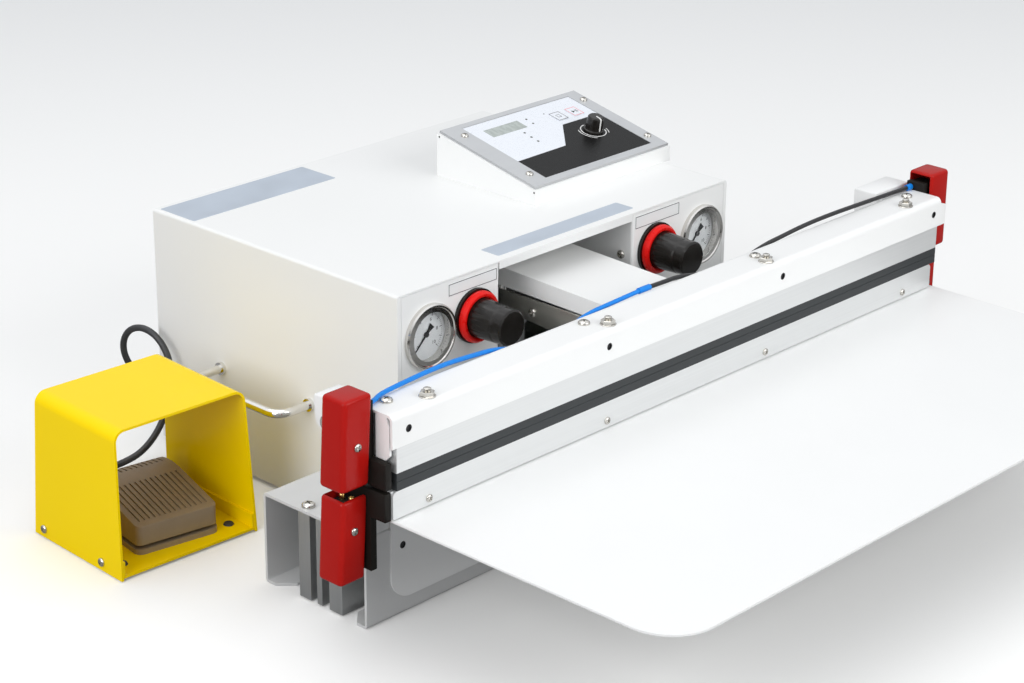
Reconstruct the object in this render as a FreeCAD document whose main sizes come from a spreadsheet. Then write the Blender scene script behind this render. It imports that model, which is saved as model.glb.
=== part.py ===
# Gas flush vacuum sealer: a bench sealer for 600 mm bags, with an air-driven upper jaw, a work tray,
# a rear housing with gauges, regulators and timer box, and a guarded foot switch on its own cable.
# Millimetres. X runs along the jaws, Y to the rear and Z up. The origin is on the floor, in the
# middle of the base channel's front lip.
import FreeCAD, Part
import Sketcher
import math
import os
from FreeCAD import Placement, Rotation, Vector

os.makedirs("parts", exist_ok=True)
doc = FreeCAD.newDocument("GasFlushSealer")

# Driving sizes: name, value, meaning
SIZES = [
    ("gap", 0.3, "clearance between pieces that pass each other"),
    ("pin_gap", 0.05, "radial clearance of a shaft in its hole"),
    ("housing_sheet", 1.5, "housing sheet thickness"),
    ("bend", 2.5, "outer bend radius of the housing"),
    ("housing_half", 200.0, "half the housing width"),
    ("housing_front", 72.6, "front plane of the housing"),
    ("housing_deep", 294.2, "depth of the housing"),
    ("housing_top", 211.6, "height of the housing top"),
    ("foot_tall", 3.5, "height of the housing feet"),
    ("foot_radius", 10.0, "radius of the housing feet"),
    ("foot_inset", 25.0, "foot centre from the housing sides"),
    ("edge_return", 4.0, "width of the cover's returns beside the front panels"),
    ("lip_tall", 7.1, "height of the cover's lip over the window"),
    ("window_left", -86.5, "left edge of the front window"),
    ("window_right", 75.5, "right edge of the front window"),
    ("panel_bottom", 77.5, "lower edge of the front panels"),
    ("panel_return", 75.0, "depth of the panel returns beside the window"),
    ("pan_flange", 14.0, "height of the floor pan's side flanges"),
    ("rear_return", 12.0, "width of the cover's rear return"),
    ("base_inset", 19.5, "base channel ends from the jaw ends"),
    ("base_lip", 23.0, "width of the base channel's lips"),
    ("base_deep", 113.4, "depth of the base channel"),
    ("base_top", 76.0, "height of the base channel"),
    ("base_sheet", 2.3, "base channel sheet thickness"),
    ("lip_chamfer", 12.0, "corner cut of the base lips"),
    ("post_wide", 28.0, "width of the end posts along the jaws"),
    ("post_front", 17.0, "front face of the end posts"),
    ("post_rear", 64.3, "rear face of the end posts"),
    ("slot_a", 31.1, "front edge of the first post slot"),
    ("slot_a_wide", 8.0, "width of the first post slot"),
    ("slot_b", 44.6, "front edge of the second post slot"),
    ("slot_b_wide", 7.0, "width of the second post slot"),
    ("slot_deep", 13.0, "depth of the post slots"),
    ("jaw_mid", 2.0, "middle of the jaws along X"),
    ("jaw_half", 335.0, "half the jaw casing length"),
    ("bar_inset", 4.0, "upper bar ends from the jaw ends"),
    ("jaw_front", -59.2, "front plane of the jaws"),
    ("jaw_rear", -22.4, "rear plane of the jaw casing"),
    ("casing_top", 193.5, "height of the jaw casing"),
    ("casing_front_low", 168.0, "lower edge of the casing's front wall"),
    ("casing_rear_low", 160.0, "lower edge of the casing's rear wall"),
    ("casing_sheet", 2.0, "jaw casing sheet thickness"),
    ("casing_bend", 5.0, "outer bend radius of the casing"),
    ("flap_low", 158.0, "lower edge of the casing's end flaps"),
    ("flap_deep", 15.0, "depth of the casing's end flaps"),
    ("casing_hole", 3.0, "radius of the holes in the casing's front wall"),
    ("bar_rear", -29.0, "rear face of the jaw bars"),
    ("strip_top", 148.4, "top of the upper sealing strip"),
    ("parting", 141.8, "height where the jaws meet"),
    ("rubber_low", 134.6, "underside of the lower sealing rubber"),
    ("plate_low", 113.2, "lower edge of the lower jaw's front plate"),
    ("plate_inset", 10.0, "right end of the lower front plate from the jaw end"),
    ("plate_sheet", 2.5, "thickness of the lower jaw's front plate"),
    ("strip_deep", 28.0, "depth of the sealing strips"),
    ("web", 6.0, "web of the lower jaw bar"),
    ("tray_top", 112.0, "height of the work tray"),
    ("tray_sheet", 1.5, "tray sheet thickness"),
    ("tray_inset", 2.5, "tray sides from the jaw ends"),
    ("tray_front", -321.8, "front edge of the tray"),
    ("tray_corner", 38.0, "radius of the tray's front corners"),
    ("flange_inset", 24.5, "ends of the tray's rear flange from the base channel ends"),
    ("tray_flange_low", 14.0, "lower edge of the tray's rear flange"),
    ("tray_flange_corner", 20.0, "radius of the flange's lower corners"),
    ("plate_thick", 6.0, "thickness of the black insulating plates"),
    ("cap_thick", 2.2, "wall of the red terminal caps"),
    ("cap_wide", 27.0, "width of the red caps along the jaws"),
    ("cap_deep", 25.0, "depth of the upper red caps"),
    ("cap_front", -44.0, "front face of the upper red caps"),
    ("cap_low", 139.0, "lower edge of the upper red caps"),
    ("cap_tall", 70.0, "height of the upper red caps"),
    ("low_cap_front", -38.0, "front face of the lower red caps"),
    ("low_cap_wide", 24.6, "width of the lower red caps along the jaws"),
    ("low_cap_deep", 25.0, "depth of the lower red caps"),
    ("low_cap_low", 62.6, "lower edge of the lower red caps"),
    ("low_cap_tall", 66.0, "height of the lower red caps"),
    ("end_block_long", 48.0, "length of the jaw end blocks"),
    ("end_block_deep", 28.0, "depth of the jaw end blocks"),
    ("end_block_top", 195.0, "height of the jaw end blocks"),
    ("end_block_tall", 28.0, "height of a jaw end block from top to rounded foot"),
    ("arm_left", -44.0, "left side of the lift arm"),
    ("arm_wide", 82.0, "width of the lift arm"),
    ("arm_sheet", 2.5, "lift arm sheet thickness"),
    ("arm_front_top", 181.2, "height of the lift arm at the jaw"),
    ("arm_rise", 10.6, "rise of the lift arm from the jaw to its rear end"),
    ("arm_low", 167.0, "lower edge of the lift arm's sides"),
    ("pivot_back", 300.0, "lift arm pivot, distance behind the origin"),
    ("pivot_tall", 150.0, "height of the lift arm pivot"),
    ("pivot_radius", 6.0, "radius of the pivot shaft"),
    ("ear_sheet", 4.0, "thickness of the pivot bracket"),
    ("cylinder_back", 150.0, "lift cylinder, distance behind the origin"),
    ("cylinder_radius", 20.0, "radius of the lift cylinder"),
    ("cylinder_top", 125.0, "height of the lift cylinder"),
    ("rod_radius", 5.0, "radius of the cylinder rod"),
    ("nozzle_mid", 22.0, "middle of the nozzle along X"),
    ("nozzle_wide", 14.0, "width of the nozzle"),
    ("nozzle_low", 143.0, "underside of the nozzle"),
    ("nozzle_tall", 5.0, "height of the nozzle"),
    ("nozzle_wall", 0.8, "wall of the nozzle"),
    ("nozzle_tip", 8.0, "nozzle tip when drawn back"),
    ("nozzle_long", 150.0, "length of the nozzle"),
    ("gauge_x", 165.6, "gauge centres from the middle"),
    ("gauge_z", 170.0, "height of the gauge centres"),
    ("gauge_radius", 27.0, "radius of the gauge bezels"),
    ("gauge_proud", 4.5, "how far the gauges stand out"),
    ("gauge_seat", 5.0, "seat of the gauge dials behind the panel face"),
    ("gauge_glass", 21.2, "radius of the gauge glass"),
    ("gauge_can", 24.0, "radius of the gauge can behind the panel"),
    ("gauge_back", 24.0, "depth of the gauge can behind the panel"),
    ("regulator_left", -115.4, "left regulator axis"),
    ("regulator_right", 105.0, "right regulator axis"),
    ("regulator_z", 173.5, "height of the regulator axes"),
    ("regulator_flange", 22.7, "radius of the regulator's black flange"),
    ("regulator_nut", 21.4, "radius of the red ring nut"),
    ("knob_radius", 16.4, "radius of the regulator knobs"),
    ("knob_cap", 15.0, "radius of the regulator knob's end"),
    ("knob_end", 42.0, "knob end in front of the panel"),
    ("box_left", 31.0, "left side of the control box"),
    ("box_front", 143.6, "front of the control box"),
    ("box_deep", 117.0, "depth of the control box"),
    ("box_front_tall", 13.4, "height of the control box front"),
    ("panel_tilt", 12.3, "slope of the control panel in degrees"),
    ("bezel_thick", 2.5, "thickness of the control bezel"),
    ("bezel_inset", 1.6, "bezel edge from the box side"),
    ("membrane_left", 22.6, "left edge of the membrane from the box side"),
    ("membrane_wide", 137.5, "width of the membrane"),
    ("membrane_front", 9.5, "front edge of the membrane up the slope"),
    ("membrane_deep", 102.5, "depth of the membrane"),
    ("membrane_margin", 15.9, "membrane's right edge from the box side"),
    ("dial_inset", 30.1, "timer knob from the membrane's right edge"),
    ("dial_up", 43.0, "timer knob from the membrane's front edge"),
    ("dial_radius", 8.0, "radius of the timer knob"),
    ("dial_tall", 14.0, "height of the timer knob"),
    ("key_mode_inset", 38.6, "mode key centre from the membrane's right edge"),
    ("key_start_inset", 17.9, "start key centre from the membrane's right edge"),
    ("key_up", 78.1, "key centres from the membrane's front edge"),
    ("key_wide", 13.2, "width of the keys"),
    ("key_deep", 14.6, "depth of the keys"),
    ("handle_radius", 3.75, "radius of the handle tube"),
    ("handle_front", 175.4, "front leg of the carry handles"),
    ("handle_long", 109.0, "distance between the handle legs"),
    ("handle_z", 91.0, "height of the carry handles"),
    ("handle_reach", 34.0, "reach of the handles from the side"),
    ("handle_bend", 13.0, "bend radius of the handles"),
    ("handle_flange", 5.5, "radius of the handle flanges"),
    ("guard_x", -325.5, "middle of the foot guard along X"),
    ("guard_y", 235.0, "middle of the foot guard, behind the origin"),
    ("guard_turn", -3.1, "turn of the foot guard in degrees"),
    ("guard_half", 66.3, "half the guard width at the floor"),
    ("roof_half", 62.5, "half the guard width at its roof"),
    ("guard_deep", 59.4, "half the guard depth at the floor"),
    ("roof_deep", 53.0, "half the guard depth at its roof"),
    ("guard_tall", 123.5, "height of the guard"),
    ("guard_sheet", 2.0, "guard sheet thickness"),
    ("guard_bend", 10.0, "outer bend radius of the guard roof"),
    ("guard_lift", 2.0, "guard base above the floor"),
    ("guard_flange", 14.0, "height of the guard base's flanges"),
    ("guard_foot_x", 52.0, "guard feet from the middle"),
    ("guard_foot_y", 40.0, "guard feet from the middle, front to back"),
    ("switch_turn", -9.5, "turn of the foot switch in degrees"),
    ("switch_x", -326.0, "foot switch middle along X"),
    ("switch_y", 193.0, "foot switch front, behind the origin"),
    ("switch_half", 37.5, "half the width of the foot switch"),
    ("switch_long", 100.0, "length of the foot switch"),
    ("switch_plate", 4.5, "height of the switch base's plinth"),
    ("pedal_front", 24.0, "height of the pedal's front edge over the guard base"),
    ("pedal_top", 36.0, "height of the pedal's crown over the guard base"),
    ("pedal_wall", 3.0, "wall of the pedal"),
    ("groove_wide", 2.0, "width of the pedal's grooves"),
    ("groove_pitch", 4.6, "pitch of the pedal's grooves"),
    ("cable_radius", 2.9, "radius of the foot switch cable"),
    ("coil_mid", 35.0, "radius of the middle of the coil's turns"),
    ("coil_half", 9.5, "half the width of the wound turns"),
    ("coil_tall", 21.0, "height of the coil"),
    ("lead_radius", 2.0, "radius of the heater leads"),
    ("hose_radius", 4.0, "bore of the air fittings"),
    ("hose_deep", 16.0, "depth of the air fittings' bores"),
]

sheet = doc.addObject("Spreadsheet::Sheet", "Sizes")


class Size:
    """A size that carries its number and its formula on the sheet together."""

    def __init__(self, value, formula):
        self.value = value
        self.formula = formula

    @staticmethod
    def of(other):
        return other if isinstance(other, Size) else Size(float(other), f"({float(other):.6f})")

    def __add__(self, other):
        other = Size.of(other)
        return Size(self.value + other.value, f"({self.formula} + {other.formula})")

    def __radd__(self, other):
        return Size.of(other) + self

    def __sub__(self, other):
        other = Size.of(other)
        return Size(self.value - other.value, f"({self.formula} - {other.formula})")

    def __rsub__(self, other):
        return Size.of(other) - self

    def __mul__(self, other):
        other = Size.of(other)
        return Size(self.value * other.value, f"({self.formula} * {other.formula})")

    def __rmul__(self, other):
        return Size.of(other) * self

    def __truediv__(self, other):
        other = Size.of(other)
        return Size(self.value / other.value, f"({self.formula} / {other.formula})")

    def __neg__(self):
        return Size(-self.value, f"(-1 * {self.formula})")


class Sizes:
    """The driving sizes by name."""


S = Sizes()
for row, (name, value, meaning) in enumerate(SIZES, 1):
    sheet.set(f"A{row}", str(value))
    sheet.setAlias(f"A{row}", name)
    sheet.set(f"B{row}", meaning)
    setattr(S, name, Size(value, f"Sizes.{name}"))
doc.recompute()

# Directions as a turn that carries +Z onto them
TURNS = {
    "+z": Rotation(),
    "-z": Rotation(Vector(1, 0, 0), 180),
    "-y": Rotation(Vector(1, 0, 0), 90),
    "+y": Rotation(Vector(1, 0, 0), -90),
    "+x": Rotation(Vector(0, 1, 0), 90),
    "-x": Rotation(Vector(0, 1, 0), -90),
}
finished = {}


def number(size):
    return Size.of(size).value


def bind(thing, prop, size):
    """Tie one property to a size, or set it when it is a plain number."""
    if isinstance(size, Size):
        thing.setExpression(prop, size.formula)
    elif "." in prop:
        thing.setExpression(prop, f"{float(size):.6f}")
    else:
        setattr(thing, prop, float(size))


def place(thing, spot, turn=None):
    """Put a thing at a spot given as three sizes, after a fixed turn."""
    if turn is not None:
        thing.Placement = Placement(Vector(), turn)
    for letter, size in zip("xyz", spot):
        bind(thing, f"Placement.Base.{letter}", size)
    return thing


def turned(thing, axis, angle, spot=(0, 0, 0)):
    """Turn a thing about one axis by an angle from the sheet, then put it at a spot."""
    thing.Placement = Placement(Vector(), Rotation(axis, 1))
    bind(thing, "Placement.Rotation.Angle", angle)
    return place(thing, spot)


def block(name, x, y, z):
    """A block between two bounds on each axis."""
    thing = doc.addObject("Part::Box", name)
    for prop, (low, high) in zip(("Length", "Width", "Height"), (x, y, z)):
        bind(thing, prop, Size.of(high) - low)
    return place(thing, (x[0], y[0], z[0]))


def rod(name, spot, radius, length, way="+z"):
    """A cylinder that starts at a spot and runs one way."""
    thing = doc.addObject("Part::Cylinder", name)
    bind(thing, "Radius", radius)
    bind(thing, "Height", length)
    return place(thing, spot, TURNS[way])


def fuse(name, things):
    thing = doc.addObject("Part::MultiFuse", name)
    thing.Shapes = things
    thing.Refine = True
    return thing


def cut(name, base, tools):
    thing = doc.addObject("Part::Cut", name)
    thing.Base = base
    thing.Tool = tools[0] if len(tools) == 1 else fuse(name + "_tools", tools)
    return thing


def group(name, things):
    """Separate solids that share one node."""
    thing = doc.addObject("Part::Compound", name)
    thing.Links = things
    return thing


def finish(node, thing):
    """Name a sub-part; its label names its file."""
    thing.Label = node
    finished[node] = thing
    return thing


def plane(body, role):
    return next(f for f in body.Origin.OriginFeatures if f.Role == role)


def outline(body, name, role, points):
    """A closed sketch of straight lines whose corners are tied to the sheet."""
    sketch = body.newObject("Sketcher::SketchObject", name)
    sketch.AttachmentSupport = [(plane(body, role), "")]
    sketch.MapMode = "FlatFace"
    flat = [Vector(number(a), number(b), 0) for a, b in points]
    for i, start in enumerate(flat):
        sketch.addGeometry(Part.LineSegment(start, flat[(i + 1) % len(flat)]), False)
    last = len(flat) - 1
    for i in range(len(flat)):
        sketch.addConstraint(Sketcher.Constraint("Coincident", i, 2, 0 if i == last else i + 1, 1))
    for i, (a, b) in enumerate(points):
        for kind, size in (("DistanceX", a), ("DistanceY", b)):
            index = sketch.addConstraint(Sketcher.Constraint(kind, -1, 1, i, 1, number(size)))
            if isinstance(size, Size):
                sketch.setExpression(f"Constraints[{index}]", size.formula)
    return sketch


def prism(name, role, points, length, spot=(0, 0, 0), back=False, bends=()):
    """A body padded from an outline; bends rounds the edges that start at the numbered corners."""
    body = doc.addObject("PartDesign::Body", name)
    sketch = outline(body, name + "_outline", role, points)
    pad = body.newObject("PartDesign::Pad", name + "_pad")
    pad.Profile = sketch
    pad.Reversed = back
    bind(pad, "Length", length)
    doc.recompute()
    last = pad
    for step, (corners, radius) in enumerate(bends):
        spots = [corner_spot(role, points[i]) for i in corners]
        edges = [f"Edge{k}" for k, edge in enumerate(last.Shape.Edges, 1)
                 if runs_from(edge, spots, role)]
        bend = body.newObject("PartDesign::Fillet", f"{name}_bend{step}")
        bend.Base = (last, edges)
        bind(bend, "Radius", radius)
        doc.recompute()
        last = bend
    body.Tip = last
    return place(body, spot)


NORMALS = {"XY_Plane": Vector(0, 0, 1), "XZ_Plane": Vector(0, 1, 0), "YZ_Plane": Vector(1, 0, 0)}


def corner_spot(role, point):
    a, b = number(point[0]), number(point[1])
    return {"XY_Plane": Vector(a, b, 0), "XZ_Plane": Vector(a, 0, b), "YZ_Plane": Vector(0, a, b)}[role]


def runs_from(edge, spots, role):
    """Whether a straight edge runs along the pad and passes over one of the corners."""
    if len(edge.Vertexes) != 2:
        return False
    normal = NORMALS[role]
    ends = [v.Point for v in edge.Vertexes]
    flat = [p - normal * p.dot(normal) for p in ends]
    along = (flat[0] - flat[1]).Length < 1e-6
    return along and any((flat[0] - spot).Length < 1e-4 for spot in spots)


def revolve(name, points, spot=(0, 0, 0), way="+z"):
    """A body turned about its own Z from an outline of radius and height."""
    body = doc.addObject("PartDesign::Body", name)
    sketch = outline(body, name + "_outline", "XZ_Plane", points)
    turn = body.newObject("PartDesign::Revolution", name + "_turn")
    turn.Profile = sketch
    turn.ReferenceAxis = (sketch, ["V_Axis"])
    turn.Angle = 360
    body.Tip = turn
    return place(body, spot, TURNS[way])


def pan_head(name, spot, radius, way):
    """A cross-head screw's head, seated on the face it clamps."""
    rim = radius * 0.35
    return revolve(name, [(0, 0), (radius, 0), (radius, rim), (radius * 0.6, radius * 0.6),
                          (0, radius * 0.66)], spot, way)


# Places that several pieces share
half = S.housing_half
sheet_in = half - S.housing_sheet
front = S.housing_front
rear = front + S.housing_deep
top = S.housing_top
pan_low = S.foot_tall
pan_top = pan_low + S.housing_sheet
base_front = -S.base_lip / 2
base_rear = base_front + S.base_deep
jaw_left = S.jaw_mid - S.jaw_half
jaw_right = S.jaw_mid + S.jaw_half
bar_left = jaw_left + S.bar_inset
bar_right = jaw_right - S.bar_inset
membrane_right = S.membrane_left + S.membrane_wide
box_wide = membrane_right + S.membrane_margin
dial_x = membrane_right - S.dial_inset
dial_s = S.membrane_front + S.dial_up
key_s = S.membrane_front + S.key_up
base_half = S.jaw_half - S.base_inset
flange_half = base_half - S.flange_inset
tray_half = S.jaw_half - S.tray_inset
SIDES = (("left", -1), ("right", 1))


def housing():
    """Cover, floor pan, feet, front panels, rear panel and carry handles."""
    under = top - S.housing_sheet
    shell = prism("cover_shell", "XZ_Plane",
                  [(-half, pan_low), (-sheet_in, pan_low), (-sheet_in, under), (sheet_in, under),
                   (sheet_in, pan_low), (half, pan_low), (half, top), (-half, top)],
                  S.housing_deep, (0, front, 0), back=True,
                  bends=[((6, 7), S.bend), ((2, 3), S.bend - S.housing_sheet)])
    parts = [shell]
    window = (S.window_left + S.gap, S.window_right - S.gap)
    parts.append(block("cover_lip", window, (front, front + S.housing_sheet),
                       (top - S.lip_tall, top - S.housing_sheet)))
    for side, sign in SIDES:
        outer, inner = (-sheet_in, -half + S.edge_return)
        bounds = (outer, inner) if sign < 0 else (-inner, -outer)
        parts.append(block(f"cover_return_{side}", bounds, (front, front + S.housing_sheet),
                           (S.panel_bottom, under)))
        inner = -half + S.rear_return
        bounds = (outer, inner) if sign < 0 else (-inner, -outer)
        parts.append(block(f"cover_rear_return_{side}", bounds, (rear - S.housing_sheet, rear),
                           (pan_low, under)))
    parts.append(block("cover_rear_lip", (-sheet_in, sheet_in), (rear - S.housing_sheet, rear),
                       (under - S.rear_return, under)))
    notch = block("cover_notch", (-half - 1, half + 1), (front - 1, base_rear + S.gap),
                  (pan_low - 1, S.base_top + S.gap))
    finish("housing_cover", cut("cover_cut", fuse("cover_folded", parts), [notch]))

    pan_half = sheet_in - S.gap
    pan_front = base_rear + 1
    pan_deep = rear - S.housing_sheet * 2 - pan_front
    wall = pan_half - S.housing_sheet
    finish("floor_pan", prism(
        "pan", "XZ_Plane",
        [(-pan_half, pan_low), (pan_half, pan_low), (pan_half, pan_low + S.pan_flange),
         (wall, pan_low + S.pan_flange), (wall, pan_top), (-wall, pan_top),
         (-wall, pan_low + S.pan_flange), (-pan_half, pan_low + S.pan_flange)],
        pan_deep, (0, pan_front, 0), back=True, bends=[((0, 1), S.bend)]))

    feet = []
    foot_x = half - S.foot_inset
    for side, sign in SIDES:
        for end, y in (("front", pan_front + S.foot_inset), ("rear", rear - S.foot_inset)):
            foot = revolve(f"foot_{side}_{end}",
                           [(0, 0), (S.foot_radius - 1.5, 0), (S.foot_radius, S.foot_tall), (0, S.foot_tall)],
                           (foot_x * sign, y, 0))
            feet.append(foot)
    finish("housing_feet", group("feet", feet))

    panels = []
    flush = front + S.housing_sheet
    panel_top = under - S.gap
    for side, sign in SIDES:
        edge = S.window_left if sign < 0 else S.window_right
        outer = (half - S.edge_return - S.gap) * sign
        thick = S.housing_sheet * sign
        panel = prism(f"panel_{side}", "XY_Plane",
                      [(edge, front), (outer, front), (outer, flush), (edge + thick, flush),
                       (edge + thick, front + S.panel_return), (edge, front + S.panel_return)],
                      panel_top - S.panel_bottom, (0, 0, S.panel_bottom),
                      bends=[((0,), S.bend), ((3,), S.bend - S.housing_sheet)])
        hole = rod(f"gauge_hole_{side}", (S.gauge_x * sign, front - 1, S.gauge_z),
                   S.gauge_can + S.gap, S.housing_sheet + 2, "+y")
        axis = S.regulator_left if sign < 0 else S.regulator_right
        stem = rod(f"regulator_hole_{side}", (axis, front - 1, S.regulator_z),
                   S.knob_radius + S.gap, S.housing_sheet + 2, "+y")
        panels.append(cut(f"panel_cut_{side}", panel, [hole, stem]))
    finish("front_panels", group("panels", panels))

    plate_y = (rear - S.housing_sheet * 2, rear - S.housing_sheet)
    plate = block("rear_plate", (-pan_half, pan_half), plate_y, (pan_low + S.gap, panel_top))
    holes = [block("module_hole", (MODULE_X - 14, MODULE_X + 14), (plate_y[0] - 1, plate_y[1] + 1),
                   (MODULE_Z - 23, MODULE_Z + 23))]
    for name, x in FITTINGS:
        holes.append(rod(f"{name}_hole", (x, plate_y[0] - 1, FITTING_Z), 6.5 + S.gap,
                         S.housing_sheet + 2, "+y"))
    holes.append(rod("gland_hole", (GLAND_X, plate_y[0] - 1, GLAND_Z), 6.0 + S.gap,
                     S.housing_sheet + 2, "+y"))
    finish("rear_panel", cut("rear_cut", plate, holes))

    handles = [handle(side, sign) for side, sign in SIDES]
    finish("carry_handles", group("handles", handles))


# Places on the rear panel that have no size of their own elsewhere
MODULE_X, MODULE_Z = 120.0, 60.0
FITTINGS = (("air_inlet", 40.0), ("gas_inlet", 75.0))
FITTING_Z = 60.0
GLAND_X, GLAND_Z = -24.0, 28.0


def handle(side, sign):
    """One chrome carry handle: two legs, two bends, a bar and two wall flanges."""
    wall = half * sign
    way = "-x" if sign < 0 else "+x"
    reach = S.handle_reach - S.handle_bend
    rear_leg = S.handle_front + S.handle_long
    parts = []
    for leg, y, inward in (("front", S.handle_front, 1), ("rear", rear_leg, -1)):
        parts.append(rod(f"handle_{side}_{leg}", (wall, y, S.handle_z), S.handle_radius, reach, way))
        parts.append(rod(f"handle_{side}_{leg}_flange", (wall, y, S.handle_z), S.handle_flange, 3, way))
        bend = doc.addObject("Part::Torus", f"handle_{side}_{leg}_bend")
        bind(bend, "Radius1", S.handle_bend)
        bind(bend, "Radius2", S.handle_radius)
        bend.Angle3 = 90
        start = {(-1, 1): 180, (-1, -1): 90, (1, 1): 270, (1, -1): 0}[(sign, inward)]
        centre = (wall + reach * sign, y + S.handle_bend * inward, S.handle_z)
        parts.append(place(bend, centre, Rotation(Vector(0, 0, 1), start)))
    parts.append(rod(f"handle_{side}_bar", (wall + S.handle_reach * sign, S.handle_front + S.handle_bend,
                                            S.handle_z),
                     S.handle_radius, S.handle_long - S.handle_bend * 2, "+y"))
    return fuse(f"handle_{side}", parts)


def gauges():
    """Two pressure gauges: case with bezel and can, dial, glass and needle."""
    cases, dials, glasses = [], [], []
    rim = S.gauge_radius
    glass_top = S.gauge_proud - 1.6
    glass_low = glass_top - 1.2
    dial_low = -S.gauge_seat
    pin = 1.0
    for side, sign in SIDES:
        spot = (S.gauge_x * sign, front, S.gauge_z)
        cases.append(revolve(f"case_{side}", [
            (0, -S.gauge_back), (S.gauge_can, -S.gauge_back), (S.gauge_can, 0), (rim, 0),
            (rim, S.gauge_proud - 1.4), (rim - 1.2, S.gauge_proud), (rim - 2.6, S.gauge_proud),
            (rim - 3.2, S.gauge_proud - 0.9), (S.gauge_glass - 1, S.gauge_proud - 0.9),
            (S.gauge_glass - 1, glass_top),
            (S.gauge_glass, glass_top), (S.gauge_glass, dial_low), (pin + S.pin_gap, dial_low),
            (pin + S.pin_gap, dial_low - 3), (0, dial_low - 3)], spot, "-y"))
        dials.append(revolve(f"dial_{side}", [
            (pin + S.pin_gap, dial_low), (S.gauge_glass - 0.1, dial_low),
            (S.gauge_glass - 0.1, dial_low + 0.8), (pin + S.pin_gap, dial_low + 0.8)], spot, "-y"))
        glasses.append(revolve(f"glass_{side}", [
            (0, glass_low), (S.gauge_glass - 0.1, glass_low), (S.gauge_glass - 0.1, glass_top),
            (0, glass_top)], spot, "-y"))
        finish(f"gauge_needle_{side}", needle(side, spot, pin, dial_low))
    finish("gauge_cases", group("cases", cases))
    finish("gauge_dials", group("dials", dials))
    finish("gauge_glasses", group("glasses", glasses))


def needle(side, spot, pin, dial_low):
    """A pointer with a wide tail on a hub, drawn at its zero to the lower left."""
    x, y, z = spot
    level = dial_low + 1.4
    end = dial_low - 2.7
    hub = revolve(f"needle_hub_{side}", [(0, end), (pin, end), (pin, level - 0.3), (2.2, level - 0.3),
                                         (2.2, level + 1.2), (1.4, level + 1.8), (0, level + 1.8)],
                  spot, "-y")
    reach = S.gauge_glass - 4.0
    blade = prism(f"needle_blade_{side}", "XZ_Plane",
                  [(-0.9, 0), (-1.4, 4), (-3, 9), (3, 9), (1.4, 4), (0.9, 0), (0.25, -reach), (-0.25, -reach)],
                  0.5, back=False)
    turned(blade, Vector(0, 1, 0), 45, (x, y - level, z))
    return fuse(f"needle_{side}", [hub, blade])


def regulators():
    """Two panel regulators: body behind the panel, black flange, red ring nut and ribbed knob."""
    bodies, nuts = [], []
    for side, axis in (("left", S.regulator_left), ("right", S.regulator_right)):
        spot = (axis, front, S.regulator_z)
        back = front + S.housing_sheet
        bowl = rod(f"regulator_stem_{side}", (axis, front - 3, S.regulator_z), S.knob_radius, 8, "+y")
        flange = rod(f"regulator_flange_{side}", (axis, front - 3, S.regulator_z),
                     S.regulator_flange, 3, "+y")
        valve = block(f"regulator_block_{side}", (axis - 20, axis + 20), (back, back + 40),
                      (S.regulator_z - 20, S.regulator_z + 20))
        port = rod(f"regulator_port_{side}", (axis, back + 20, S.regulator_z - 34), 7, 14, "+z")
        bore = rod(f"regulator_bore_{side}", (axis, front - 4, S.regulator_z), 5 + S.pin_gap, 16, "+y")
        bodies.append(cut(f"regulator_{side}", fuse(f"regulator_solid_{side}", [bowl, flange, valve, port]),
                          [bore]))
        nuts.append(revolve(f"nut_{side}", [
            (S.knob_radius + S.gap, 3), (S.regulator_nut - 1, 3), (S.regulator_nut, 4.5),
            (S.regulator_nut, 7), (S.regulator_nut - 1.8, 9.5), (S.knob_radius + 1.4, 9.5),
            (S.knob_radius + S.gap, 8.5)], spot, "-y"))
        finish(f"regulator_knob_{side}", regulator_knob(side, spot))
    finish("regulator_bodies", group("regulators", bodies))
    finish("regulator_nuts", group("nuts", nuts))


def regulator_knob(side, spot):
    """A tapering knob with lengthwise grooves, a stepped end and a spindle into the regulator."""
    start = 3 + S.gap
    step = S.knob_end - 12
    body = revolve(f"knob_turned_{side}", [
        (0, -8), (5, -8), (5, start), (S.knob_radius - 0.4, start), (S.knob_radius, start + 4),
        (S.knob_radius - 1, step), (S.knob_cap, step + 2), (S.knob_cap, S.knob_end - 1.5),
        (S.knob_cap - 1.5, S.knob_end), (0, S.knob_end)], spot, "-y")
    grooves = []
    for k in range(KNOB_GROOVES):
        angle = math.radians(360 * k / KNOB_GROOVES)
        reach = S.knob_radius + 0.35
        x, y, z = spot
        grooves.append(rod(f"knob_groove_{side}_{k}",
                           (x + reach * math.cos(angle), y - start - 7, z + reach * math.sin(angle)),
                           1.1, S.knob_end, "-y"))
    return cut(f"knob_{side}", body, [group(f"knob_grooves_{side}", grooves)])


KNOB_GROOVES = 20


def tilted(thing, x, slope, rise=0):
    """Put a thing on the control panel, at a place across and up its slope."""
    tilt = math.radians(S.panel_tilt.value)
    up = Size(math.cos(tilt), "cos(Sizes.panel_tilt * 1 deg)")
    lift = Size(math.sin(tilt), "sin(Sizes.panel_tilt * 1 deg)")
    y = S.box_front + slope * up - rise * lift
    z = top + S.box_front_tall + slope * lift + rise * up
    return turned(thing, Vector(1, 0, 0), S.panel_tilt, (S.box_left + x, y, z))


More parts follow.
